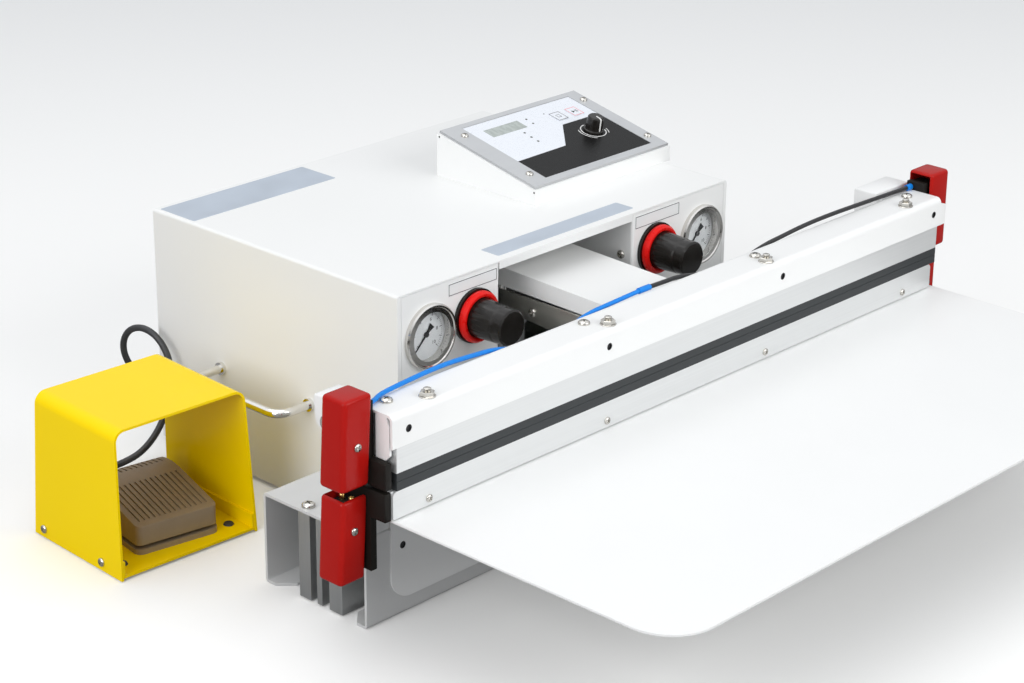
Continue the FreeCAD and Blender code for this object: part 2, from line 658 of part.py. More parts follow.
def control_unit():
    """Sloped timer box on the housing, its bezel, membrane, keys and timer knob."""
    tilt = math.radians(S.panel_tilt.value)
    slope = Size(math.tan(tilt), "tan(Sizes.panel_tilt * 1 deg)")
    length = S.box_deep / Size(math.cos(tilt), "cos(Sizes.panel_tilt * 1 deg)")
    high = top + S.box_front_tall
    body = prism("box_solid", "YZ_Plane",
                 [(S.box_front, top), (S.box_front + S.box_deep, top),
                  (S.box_front + S.box_deep, high + S.box_deep * slope), (S.box_front, high)],
                 box_wide, (S.box_left, 0, 0))
    shaft_hole = tilted(rod("dial_hole", (0, 0, 0), 2 + S.pin_gap, 8), dial_x, dial_s, -7)
    finish("control_box", cut("box_cut", body, [shaft_hole]))

    inset = S.bezel_inset
    plate = tilted(block("bezel_plate", (0, box_wide - inset * 2), (0, length - inset * 2),
                         (0, S.bezel_thick)), inset, inset)
    window = tilted(block("bezel_window", (0, S.membrane_wide), (0, S.membrane_deep),
                          (-1, S.bezel_thick + 1)), S.membrane_left, S.membrane_front)
    finish("control_bezel", cut("bezel_cut", plate, [window]))

    thin = S.bezel_thick - 0.3
    membrane = tilted(block("membrane_plate", (S.gap / 2, S.membrane_wide - S.gap / 2),
                            (S.gap / 2, S.membrane_deep - S.gap / 2), (0, thin)),
                      S.membrane_left, S.membrane_front)
    holes = [tilted(rod("membrane_hole", (0, 0, 0), 2 + S.pin_gap, thin + 2), dial_x, dial_s, -1)]
    keys = (("key_mode", membrane_right - S.key_mode_inset),
            ("key_start", membrane_right - S.key_start_inset))
    for node, x in keys:
        low_x, low_s = x - S.key_wide / 2, key_s - S.key_deep / 2
        holes.append(tilted(block(f"{node}_hole", (0, S.key_wide), (0, S.key_deep), (-1, thin + 1)),
                            low_x, low_s))
        key = tilted(block(f"{node}_cap", (0, S.key_wide - S.gap * 2), (0, S.key_deep - S.gap * 2),
                           (0, thin - 0.3)), low_x + S.gap, low_s + S.gap, 0.8)
        finish(node, key)
    finish("control_membrane", cut("membrane_cut", membrane, holes))

    pin = 2.0
    rise = thin + S.gap
    knob = revolve("dial_turned", [
        (0, -8), (pin, -8), (pin, 0), (S.dial_radius + 1, 0), (S.dial_radius + 1, 1.6), (S.dial_radius, 2.2),
        (S.dial_radius - 0.8, S.dial_tall - 1), (S.dial_radius - 1.8, S.dial_tall), (0, S.dial_tall)])
    finish("control_knob", tilted(knob, dial_x, dial_s, rise))


def jaw_section(name, points, bends=(), left=None, right=None):
    """A length of bar or folded sheet that runs along the jaws."""
    low = jaw_left if left is None else left
    high = jaw_right if right is None else right
    return prism(name, "YZ_Plane", points, high - low, (low, 0, 0), bends=bends)


def upper_jaw():
    """Casing, bar, sealing strip, end blocks, insulators, caps, fasteners and leads."""
    yf, yr, t = S.jaw_front, S.jaw_rear, S.casing_sheet
    high, low_f, low_r = S.casing_top, S.casing_front_low, S.casing_rear_low
    tab = prism("casing_tab", "XZ_Plane", [
        (jaw_right - 5, low_f), (jaw_right + 7.5, low_f), (jaw_right + 7.5, low_f + 18),
        (jaw_right, high - S.casing_bend), (jaw_right - 5, high - S.casing_bend)], t, (0, yf, 0), back=True)
    shell = jaw_section("casing_shell", [
        (yf, low_f), (yf + t, low_f), (yf + t, high - t), (yr - t, high - t), (yr - t, low_r),
        (yr, low_r), (yr, high), (yf, high)],
        bends=[((6, 7), S.casing_bend), ((2, 3), S.casing_bend - t)])
    parts = [shell, tab]
    flap_top = high - S.casing_bend
    for side, x in (("left", (jaw_left, jaw_left + t)), ("right", (jaw_right - t, jaw_right))):
        flap = prism(f"casing_flap_{side}", "YZ_Plane", [
            (yf + t + 1, S.flap_low + 4), (yf + t + 5, S.flap_low), (yf + S.flap_deep + t, S.flap_low),
            (yf + S.flap_deep + t, high - t), (yf + t + 4, high - t), (yf + t + 1, flap_top - 4)],
            t, (x[0], 0, 0))
        parts.append(flap)
    holes = []
    for k, share in enumerate(CASING_HOLES):
        holes.append(rod(f"casing_hole_{k}", (along_jaw(share), yf - 1, low_f + 12), S.casing_hole, t + 2,
                         "+y"))
    finish("jaw_casing", cut("casing_cut", fuse("casing_folded", parts), holes))

    top_in = high - t
    finish("upper_jaw_bar", jaw_section("upper_bar", [
        (yf, S.strip_top), (S.bar_rear, S.strip_top), (S.bar_rear, top_in), (yf + t + 4, top_in),
        (yf + t, top_in - 4), (yf + t, low_f), (yf, low_f)], left=bar_left, right=bar_right))
    finish("upper_seal_strip", jaw_section("upper_strip", [
        (yf, S.parting + S.gap / 2), (yf + S.strip_deep, S.parting + S.gap / 2),
        (yf + S.strip_deep, S.strip_top), (yf, S.strip_top)], left=bar_left, right=bar_right))

    blocks, fasteners = [], []
    y0 = cap_rear() + S.gap
    y1 = y0 + S.end_block_deep
    z1, z0 = S.end_block_top, S.end_block_top - S.end_block_tall
    round_foot = S.end_block_deep / 2 - 0.1
    for side, sign in SIDES:
        outer = S.jaw_mid + (S.jaw_half + 12) * sign
        left = outer if sign < 0 else outer - S.end_block_long
        lump = prism(f"end_block_body_{side}", "YZ_Plane", [(y0, z0), (y1, z0), (y1, z1), (y0, z1)],
                     S.end_block_long, (left, 0, 0), bends=[((0, 1), round_foot), ((2, 3), 2.0)])
        seat = S.jaw_mid + (S.jaw_half - 24) * sign
        neck_x = (seat, seat + 20) if sign < 0 else (seat - 20, seat)
        neck = block(f"end_block_neck_{side}", neck_x, (yr, y0 + 4), (z0 + 8, z1 - 4))
        blocks.append(fuse(f"end_block_{side}", [lump, neck]))
        way = "-x" if sign < 0 else "+x"
        fasteners.append(rod(f"end_block_disc_{side}", (outer, (y0 + y1) / 2, z1 - 19), 6, 2.5, way))
    finish("jaw_end_blocks", group("end_blocks", blocks))

    plates, caps = [], []
    for side, sign in SIDES:
        sheet_rear = cap_rear() - S.cap_thick - S.gap * 2
        sheet_low, sheet_step = S.parting - 4.5, S.flap_low - S.gap
        sheet_top = S.cap_low + S.cap_tall - 8
        plates.append(insulator(f"upper_plate_{side}", sign, [
            (yf + 1, sheet_low), (sheet_rear, sheet_low), (sheet_rear, sheet_top),
            (S.cap_front + 4, sheet_top), (S.cap_front + 4, sheet_step), (yf + 1, sheet_step)],
            (S.cap_front + 7, sheet_rear - 1), (sheet_top - 31, sheet_top - 1)))
        caps.append(cap(f"upper_cap_{side}", sign, S.cap_wide, (S.cap_front, cap_rear()),
                        (S.cap_low, S.cap_low + S.cap_tall), open_low=True))
    finish("upper_insulators", group("upper_plates", plates))
    finish("upper_caps", group("upper_cap_pair", caps))

    for k, share in enumerate(STUDS):
        fasteners.append(stud_nut(f"stud_{k}", (along_jaw(share), yf + 9.7, high)))
    for k, share in enumerate(BUTTONS):
        fasteners.append(pan_head(f"button_{k}", (along_jaw(share), yf + 23.2, high), 4.8, "+z"))
    for side, sign in SIDES:
        x = cap_middle(sign, S.cap_wide)
        fasteners.append(pan_head(f"upper_cap_screw_{side}", (x, S.cap_front, S.cap_low + 32.6), 3.2, "-y"))
    finish("jaw_fasteners", group("jaw_fastener_set", fasteners))


# Places along the jaws as shares of their length
CASING_HOLES = (0.0245, 0.3446, 0.6648, 0.9849)
STUDS = (0.0661, 0.3572, 0.6482, 0.9393)
BUTTONS = (0.0252, 0.3384, 0.6522, 0.9704)
PLATE_SCREWS = (0.0537, 0.3427, 0.6357, 0.9236)


def along_jaw(share):
    return jaw_left + (jaw_right - jaw_left) * share


def cap_rear():
    return S.cap_front + S.cap_deep


def cap_middle(sign, wide):
    """Middle of a red cap along X, outside the insulating plate."""
    return S.jaw_mid + (S.jaw_half + S.plate_thick + wide / 2) * sign


def insulator(name, sign, points, block_y, block_z):
    """A black insulating plate with the terminal block that stands out under the cap."""
    inner = S.jaw_mid + S.jaw_half * sign
    outer = inner + S.plate_thick * sign
    tip = outer + 14 * sign
    left = outer if sign < 0 else inner
    lump_x = (tip, outer) if sign < 0 else (outer, tip)
    plate = prism(name + "_sheet", "YZ_Plane", points, S.plate_thick, (left, 0, 0))
    lump = block(name + "_block", lump_x, block_y, block_z)
    return fuse(name, [plate, lump])


def cap(name, sign, wide, y, z, open_low):
    """A red moulded cap, open towards the jaw and at one end."""
    inner = S.jaw_mid + (S.jaw_half + S.plate_thick) * sign
    outer = inner + wide * sign
    t = S.cap_thick
    if sign < 0:
        corners, rounded = [(outer, y[0]), (inner, y[0]), (inner, y[1]), (outer, y[1])], (0, 3)
        hollow_x = (outer + t, inner + 1)
    else:
        corners, rounded = [(inner, y[0]), (outer, y[0]), (outer, y[1]), (inner, y[1])], (1, 2)
        hollow_x = (inner - 1, outer - t)
    shell = prism(name + "_shell", "XY_Plane", corners, z[1] - z[0], (0, 0, z[0]),
                  bends=[(rounded, 4.0)])
    hollow_z = (z[0] - 1, z[1] - t) if open_low else (z[0] + t, z[1] + 1)
    hollow = block(name + "_hollow", hollow_x, (y[0] + t, y[1] - t), hollow_z)
    return cut(name, shell, [hollow])


def stud_nut(name, spot):
    """A hexagon nut and its washer on a stud that stands out of it."""
    across = 5.0
    corner = across / math.cos(math.radians(30))
    points = [(corner * math.cos(math.radians(60 * k + 30)), corner * math.sin(math.radians(60 * k + 30)))
              for k in range(6)]
    x, y, z = spot
    washer = rod(name + "_washer", spot, 6.5, 0.8)
    nut = prism(name + "_nut", "XY_Plane", points, 3.2, (x, y, z + 0.8))
    tip = rod(name + "_tip", (x, y, z + 4), 3, 2.5)
    return fuse(name, [washer, nut, tip])


# The heater leads along the casing, from each cap to the sleeve over the arm; X as shares of the jaws
BLUE_LEAD = [(0.0134, -32.6, 196.0), (0.0254, -28.2, 196.2), (0.0448, -26.6, 196.4), (0.0746, -24.8, 196.6),
             (0.1045, -23.9, 197.3), (0.1418, -22.6, 198.0), (0.1791, -20.4, 196.4), (0.2164, -19.4, 192.6),
             (0.2687, -19.0, 190.2), (0.3284, -19.2, 190.0), (0.3731, -19.6, 191.8), (0.4104, -21.0, 194.8),
             (0.4403, -23.2, 196.8)]
BLACK_LEAD = [(0.5134, -24.6, 196.6), (0.5582, -22.4, 194.6), (0.6119, -19.6, 191.4), (0.6716, -19.2, 190.2),
              (0.7239, -19.8, 192.4), (0.7761, -22.2, 196.4), (0.8209, -24.0, 198.6), (0.8806, -24.8, 198.0),
              (0.9403, -25.6, 196.4)]


def leads():
    """Heater leads from each cap over the casing's rear edge to the sleeve that joins them."""
    thick = S.lead_radius + 0.7
    joint, sleeve = (along_jaw(0.4627), -24.4, 197.2), 14.0
    right = (jaw_right - 6, -26.0, 196.2)
    routes = (("blue", [(jaw_left + 0.5, -34.4, 196.0)] + lead_route(BLUE_LEAD) + [joint]),
              ("black", [(joint[0] + sleeve, joint[1], joint[2])] + lead_route(BLACK_LEAD) + [right]))
    out = [cable_tube(f"lead_{name}", [[number(v) for v in spot] for spot in spots], S.lead_radius.value)
           for name, spots in routes]
    out.append(rod("lead_sleeve", joint, thick, sleeve, "+x"))
    out.append(rod("lead_end_sleeve", right, thick, 6, "+x"))
    finish("jaw_leads", group("lead_pair", out))


def lead_route(points):
    return [(along_jaw(share), y, z) for share, y, z in points]


def lift():
    """Lift arm, its pivot, the lift cylinder with its rod, and the nozzle with its guide."""
    left, right = S.arm_left, S.arm_left + S.arm_wide
    t = S.arm_sheet
    yf = S.jaw_rear
    tail = S.pivot_back + 12
    rise = S.arm_rise
    roof_f, roof_r = S.arm_front_top, S.arm_front_top + rise
    side = [(yf, S.arm_low), (180, S.arm_low + 3), (S.pivot_back - 25, S.pivot_tall - 12),
            (tail, S.pivot_tall - 12), (tail, roof_r), (yf, roof_f)]
    solid = prism("arm_solid", "YZ_Plane", side, S.arm_wide, (left, 0, 0))
    hollow = prism("arm_hollow", "YZ_Plane", [
        (yf + t, 100), (tail + 1, 100), (tail + 1, roof_r - t), (yf + t, roof_f - t)],
        S.arm_wide - t * 2, (left + t, 0, 0))
    bore = rod("arm_bore", (left - 1, S.pivot_back, S.pivot_tall), S.pivot_radius + S.pin_gap,
               S.arm_wide + 2, "+x")
    finish("lift_arm", cut("arm_cut", solid, [hollow, bore]))

    ear = S.ear_sheet
    ears_left, ears_right = left - S.gap - ear, right + S.gap + ear
    finish("pivot_shaft", rod("shaft", (ears_left - 3, S.pivot_back, S.pivot_tall), S.pivot_radius,
                              ears_right - ears_left + 6, "+x"))
    parts = [block("bracket_base", (ears_left, ears_right), (S.pivot_back - 40, S.pivot_back + 40),
                   (pan_top, pan_top + ear))]
    for name, x in (("left", ears_left), ("right", ears_right - ear)):
        parts.append(prism(f"bracket_ear_{name}", "YZ_Plane", [
            (S.pivot_back - 40, pan_top), (S.pivot_back + 40, pan_top),
            (S.pivot_back + 14, S.pivot_tall + 14), (S.pivot_back - 14, S.pivot_tall + 14)],
            ear, (x, 0, 0)))
    hole = rod("bracket_bore", (ears_left - 1, S.pivot_back, S.pivot_tall), S.pivot_radius,
               ears_right - ears_left + 2, "+x")
    finish("pivot_bracket", cut("bracket_cut", fuse("bracket_solid", parts), [hole]))

    x = (left + right) / 2
    spot = (x, S.cylinder_back, pan_top)
    tall = S.cylinder_top - pan_top
    bore_low = tall - 60
    finish("lift_cylinder", revolve("cylinder_solid", [
        (0, 0), (S.cylinder_radius + 4, 0), (S.cylinder_radius + 4, 8), (S.cylinder_radius, 8),
        (S.cylinder_radius, tall - 8), (S.cylinder_radius + 2, tall - 8), (S.cylinder_radius + 2, tall),
        (S.rod_radius + S.pin_gap, tall), (S.rod_radius + S.pin_gap, bore_low), (0, bore_low)], spot))
    pad = 8
    slope = rise / (tail - yf)
    ceiling = roof_f - t + slope * (S.cylinder_back - pad - yf)
    reach = ceiling - S.gap - pan_top
    finish("cylinder_rod", revolve("rod_solid", [
        (0, bore_low + S.gap), (S.rod_radius, bore_low + S.gap), (S.rod_radius, reach - 6),
        (pad, reach - 6), (pad, reach), (0, reach)], spot))

    low, high = S.nozzle_low, S.nozzle_low + S.nozzle_tall
    x0, x1 = S.nozzle_mid - S.nozzle_wide / 2, S.nozzle_mid + S.nozzle_wide / 2
    y0, y1 = S.nozzle_tip, S.nozzle_tip + S.nozzle_long
    wall = S.nozzle_wall
    tube = block("nozzle_tube", (x0, x1), (y0, y1), (low, high))
    bore = block("nozzle_bore", (x0 + wall, x1 - wall), (y0 - 1, y1 + 1), (low + wall, high - wall))
    finish("nozzle", cut("nozzle_cut", tube, [bore]))
    gap = S.pin_gap
    guide = block("guide_solid", (x0 - 8, x1 + 8), (25, 70), (S.base_top, high + 6))
    slot = block("guide_slot", (x0 - gap, x1 + gap), (24, 71), (low - gap, high + gap))
    finish("nozzle_block", cut("guide_cut", guide, [slot]))


def lower_jaw():
    """Bar, front plate, rubber, insulators, caps and screws of the fixed lower jaw."""
    yf = S.jaw_front
    t = S.plate_sheet
    web_f = base_front + S.gap
    web_r = web_f + S.web
    shelf = S.tray_top
    bar = jaw_section("lower_bar", [
        (yf + t, shelf), (web_f, shelf), (web_f, S.base_top), (web_r + 14, S.base_top),
        (web_r + 14, S.base_top + 4), (web_r, S.base_top + 4), (web_r, shelf + S.web),
        (S.bar_rear, shelf + S.web), (S.bar_rear, S.rubber_low), (yf + t, S.rubber_low)],
        left=jaw_left, right=jaw_right)
    notch = block("lower_bar_notch", (jaw_right - 9, jaw_right + 1), (yf, S.low_cap_front - 2),
                  (shelf - 1, S.rubber_low + 1))
    finish("lower_jaw_bar", cut("lower_bar_cut", bar, [notch]))
    plate_right = jaw_right - S.plate_inset
    plate = prism("front_plate", "XZ_Plane", [
        (jaw_left, S.plate_low), (plate_right, S.plate_low), (plate_right, S.rubber_low),
        (jaw_left, S.rubber_low)],
        t, (0, yf, 0), back=True, bends=[((2, 3), 4.0)])
    finish("lower_jaw_plate", plate)
    finish("lower_seal_rubber", jaw_section("lower_rubber", [
        (yf, S.rubber_low), (yf + S.strip_deep, S.rubber_low),
        (yf + S.strip_deep, S.parting - S.gap / 2), (yf, S.parting - S.gap / 2)],
        left=bar_left, right=bar_right))

    plates, caps, screws = [], [], []
    rear_wall = S.low_cap_front + S.low_cap_deep
    cap_top = S.low_cap_low + S.low_cap_tall
    for side, sign in SIDES:
        sheet_front, sheet_rear = S.low_cap_front - 4, rear_wall - S.cap_thick - S.gap * 2
        sheet_low, sheet_top = S.low_cap_low + 6, S.rubber_low - S.gap
        lump_top = cap_top - 6
        plates.append(insulator(f"lower_plate_{side}", sign, [
            (sheet_front, sheet_low), (sheet_rear, sheet_low), (sheet_rear, sheet_top), (yf + 2, sheet_top),
            (yf + 2, S.tray_top), (sheet_front, S.tray_top)],
            (S.low_cap_front + S.cap_thick + S.gap, sheet_rear), (lump_top - 31, lump_top)))
        caps.append(cap(f"lower_cap_{side}", sign, S.low_cap_wide, (S.low_cap_front, rear_wall),
                        (S.low_cap_low, S.low_cap_low + S.low_cap_tall), open_low=False))
        x = cap_middle(sign, S.low_cap_wide)
        screws.append(pan_head(f"lower_cap_screw_{side}", (x, S.low_cap_front, S.low_cap_low + 41), 3.2, "-y"))
        for k in range(2):
            screws.append(rod(f"terminal_{side}_{k}",
                              (x - 5 * sign, S.low_cap_front + 7.5 + 10 * k, lump_top), 2.4, 4))
        screws.append(pan_head(f"base_screw_{side}", (base_half * sign - 7.5 * sign, 59, S.base_top),
                               5.5, "+z"))
    for k, share in enumerate(PLATE_SCREWS):
        x = along_jaw(share)
        screws.append(pan_head(f"plate_screw_{k}", (x, yf, S.plate_low + 5.6), 3.0, "-y"))
    finish("lower_insulators", group("lower_plates", plates))
    finish("lower_caps", group("lower_cap_pair", caps))
    finish("lower_fasteners", group("lower_fastener_set", screws))


def base():
    """Base channel, its end posts and the work tray."""
    yf, yr, t, high = base_front, base_rear, S.base_sheet, S.base_top
    channel = prism("channel", "YZ_Plane", [
        (yf, 0), (yf + S.base_lip, 0), (yf + S.base_lip, t), (yf + t, t), (yf + t, high - t),
        (yr - t, high - t), (yr - t, t), (yr - S.base_lip, t), (yr - S.base_lip, 0), (yr, 0),
        (yr, high), (yf, high)],
        base_half * 2, (-base_half, 0, 0),
        bends=[((0, 9, 10, 11), 3.0), ((3, 4, 5, 6), 0.8)])
    corners = []
    c = S.lip_chamfer
    for side, sign in SIDES:
        for end, y, away in (("front", yf + S.base_lip, 1), ("rear", yr - S.base_lip, -1)):
            x = base_half * sign
            points = [(x + sign, y + away), (x - c * sign, y + away), (x - c * sign, y),
                      (x, y - c * away), (x + sign, y - c * away)]
            corners.append(prism(f"lip_corner_{side}_{end}", "XY_Plane", points, t + 1, (0, 0, -0.5)))
    finish("base_channel", cut("channel_cut", channel, corners))

    posts = []
    for side, sign in SIDES:
        outer = (base_half - 1.5) * sign
        inner = outer - S.post_wide * sign
        deep = outer - S.slot_deep * sign
        a0, a1 = S.slot_a, S.slot_a + S.slot_a_wide
        b0, b1 = S.slot_b, S.slot_b + S.slot_b_wide
        points = [(inner, S.post_front), (outer, S.post_front), (outer, a0), (deep, a0), (deep, a1),
                  (outer, a1), (outer, b0), (deep, b0), (deep, b1), (outer, b1),
                  (outer, S.post_rear), (inner, S.post_rear)]
        posts.append(prism(f"post_{side}", "XY_Plane", points, high - t - 1, (0, 0, 1)))
    finish("base_posts", group("posts", posts))

    thick = S.tray_sheet
    flange_y = base_front - thick
    top_plate = prism("tray_plate", "XY_Plane", [
        (-tray_half, S.tray_front), (tray_half, S.tray_front), (tray_half, base_front),
        (-tray_half, base_front)], thick, (0, 0, S.tray_top - thick), bends=[((0, 1), S.tray_corner)])
    flange = prism("tray_flange", "XZ_Plane", [
        (-flange_half, S.tray_flange_low), (flange_half, S.tray_flange_low),
        (flange_half, S.tray_top - thick), (-flange_half, S.tray_top - thick)],
        thick, (0, flange_y, 0), back=True, bends=[((0, 1), S.tray_flange_corner)])
    holes = [rod(f"tray_hole_{side}", (flange_half * sign - 12 * sign, flange_y - 1, 58.5), 3,
                 thick + 2, "+y") for side, sign in SIDES]
    finish("work_tray", cut("tray_cut", fuse("tray_folded", [top_plate, flange]), holes))


def rear_fittings():
    """Mains inlet with its switch, air fittings, cable gland and the screws of the housing."""
    face = rear - S.housing_sheet
    lip = 2.5
    x, z = MODULE_X, MODULE_Z
    flange = block("module_flange", (x - 16.5, x + 16.5), (face, face + lip + S.housing_sheet),
                   (z - 26, z + 26))
    can = block("module_can", (x - 13.7, x + 13.7), (face - 24, face), (z - 22.7, z + 22.7))
    inlet = block("inlet_hollow", (x - 12, x + 12), (face - 14, face + 6), (z - 20, z - 3))
    well = block("switch_hollow", (x - 7.5, x + 7.5), (face - 12, face + 6), (z + 0.5, z + 22))
    shell = cut("module_shell", fuse("module_solid", [flange, can]), [inlet, well])
    pins = []
    for name, dx, dz in (("live", -7, 0), ("earth", 0, 4), ("neutral", 7, 0)):
        pins.append(block(f"pin_{name}", (x + dx - 1, x + dx + 1), (face - 15, face - 2),
                          (z - 14 + dz, z - 10 + dz)))
    finish("power_inlet", fuse("inlet", [shell] + pins))
    rocker = prism("rocker", "YZ_Plane", [
        (1.2, -9.2), (3.6, -9.2), (2.2, 0), (3.6, 9.2), (1.2, 9.2), (-5, 4), (-5, -4)],
        14, (0, 0, 0))
    turned(rocker, Vector(1, 0, 0), -8, (x - 7, face + 0.5, z + 11.25))
    finish("power_switch", rocker)

    fittings = []
    for name, fx in FITTINGS:
        parts = [rod(f"{name}_thread", (fx, face - 12, FITTING_Z), 6.5, 12, "+y"),
                 rod(f"{name}_collar", (fx, face, FITTING_Z), 8.5, 7, "+y"),
                 rod(f"{name}_sleeve", (fx, face + 7, FITTING_Z), 7, 11, "+y")]
        bore = rod(f"{name}_bore", (fx, face + 18 - S.hose_deep, FITTING_Z), S.hose_radius,
                   S.hose_deep + 1, "+y")
        fittings.append(cut(name, fuse(f"{name}_solid", parts), [bore]))
    finish("air_fittings", group("fittings", fittings))

    finish("cable_gland", fuse("gland", [
        rod("gland_thread", (GLAND_X, face - 8, GLAND_Z), 6, 8, "+y"),
        rod("gland_nut", (GLAND_X, face, GLAND_Z), 9, 6, "+y"),
        rod("gland_dome", (GLAND_X, face + 6, GLAND_Z), 6.5, 8, "+y")]))

    screws = []
    for side, edge, sign in (("left", S.window_left, -1), ("right", S.window_right, 1)):
        way = "+x" if sign < 0 else "-x"
        screws.append(pan_head(f"return_screw_{side}", (edge, front + 12, 172), 3.8, way))
    for side, sign in SIDES:
        for k, level in enumerate((30, 105, 180)):
            screws.append(pan_head(f"rear_screw_{side}_{k}",
                                   ((half - S.rear_return / 2) * sign, rear, level), 3.5, "+y"))
    length = S.box_deep / Size(math.cos(math.radians(S.panel_tilt.value)),
                               "cos(Sizes.panel_tilt * 1 deg)")
    for side, across in (("left", 14.2), ("right", box_wide - 8.0)):
        for end, slope in (("front", 21), ("rear", length - 19.8)):
            head = pan_head(f"bezel_screw_{side}_{end}", (0, 0, 0), 3.4, "+z")
            screws.append(tilted(head, across, Size.of(slope), S.bezel_thick))
    finish("panel_screws", group("panel_screw_set", screws))


def on_guard(thing):
    """Stand a thing that was drawn at the guard's own middle where the guard stands."""
    holder = group(thing.Name + "_stand", [thing])
    return turned(holder, Vector(0, 0, 1), S.guard_turn, (S.guard_x, S.guard_y, 0))


def guard():
    """Yellow guard: bent shell, base plate with side flanges, screws and rubber feet."""
    t = S.guard_sheet
    lean = (S.guard_half - S.roof_half) / S.guard_tall
    high = S.guard_tall
    low = S.guard_lift
    shell = prism("guard_fold", "XZ_Plane", [
        (-S.guard_half, 0), (-S.guard_half + t, 0), (-S.roof_half + t - lean * t, high - t),
        (S.roof_half - t + lean * t, high - t), (S.guard_half - t, 0), (S.guard_half, 0),
        (S.roof_half, high), (-S.roof_half, high)],
        S.guard_deep * 2, (0, -S.guard_deep, 0), back=True,
        bends=[((6, 7), S.guard_bend), ((2, 3), S.guard_bend - t)])
    sides = prism("guard_sides", "YZ_Plane", [
        (-S.guard_deep, 0.6), (S.guard_deep, 0.6), (S.roof_deep, high), (-S.roof_deep, high)],
        S.guard_half * 2 + 2, (-S.guard_half - 1, 0, 0))
    common = doc.addObject("Part::MultiCommon", "guard_common")
    common.Shapes = [shell, sides]
    finish("guard_shell", on_guard(common))

    foot = S.guard_half - t
    up = low + S.guard_flange
    bed = low + t
    plate = prism("guard_plate", "XZ_Plane", [
        (-foot + lean * low, low), (foot - lean * low, low), (foot - lean * up, up),
        (foot - t - lean * up, up), (foot - t - lean * bed, bed), (-foot + t + lean * bed, bed),
        (-foot + t + lean * up, up), (-foot + lean * up, up)],
        S.guard_deep * 2 - 2, (0, -S.guard_deep + 1, 0), back=True)
    holes, feet, screws = [], [], []
    for side, sign in SIDES:
        for end, y in (("front", -S.guard_foot_y), ("rear", S.guard_foot_y)):
            x = S.guard_foot_x * sign
            holes.append(rod(f"guard_foot_hole_{side}_{end}", (x, y, low - 1), 3, t + 2))
            shape = [(0, 0), (5.5, 0), (6, low), (3, low)]
            if end == "front":
                shape += [(3, bed), (4.4, bed), (3.6, bed + 1.6), (0, bed + 1.8)]
            else:
                shape += [(3, bed - S.gap), (0, bed - S.gap)]
            feet.append(revolve(f"guard_foot_{side}_{end}", shape, (x, y, 0)))
        for end, y in (("front", -33.0), ("rear", 46.0)):
            way = "-x" if sign < 0 else "+x"
            x = (S.guard_half - lean * 4) * sign
            head = pan_head(f"guard_screw_{side}_{end}", (x, y, 8), 3.6, way)
            screws.append(head)
    finish("guard_base", on_guard(cut("guard_plate_cut", plate, holes)))
    finish("guard_feet", on_guard(group("guard_foot_set", feet)))
    finish("guard_screws", on_guard(group("guard_screw_set", screws)))


def on_switch(thing):
    """Stand a thing that was drawn at the switch's own front edge where the switch stands."""
    holder = group(thing.Name + "_stand", [thing])
    return turned(holder, Vector(0, 0, 1), S.switch_turn,
                  (S.switch_x, S.switch_y, S.guard_lift + S.guard_sheet))


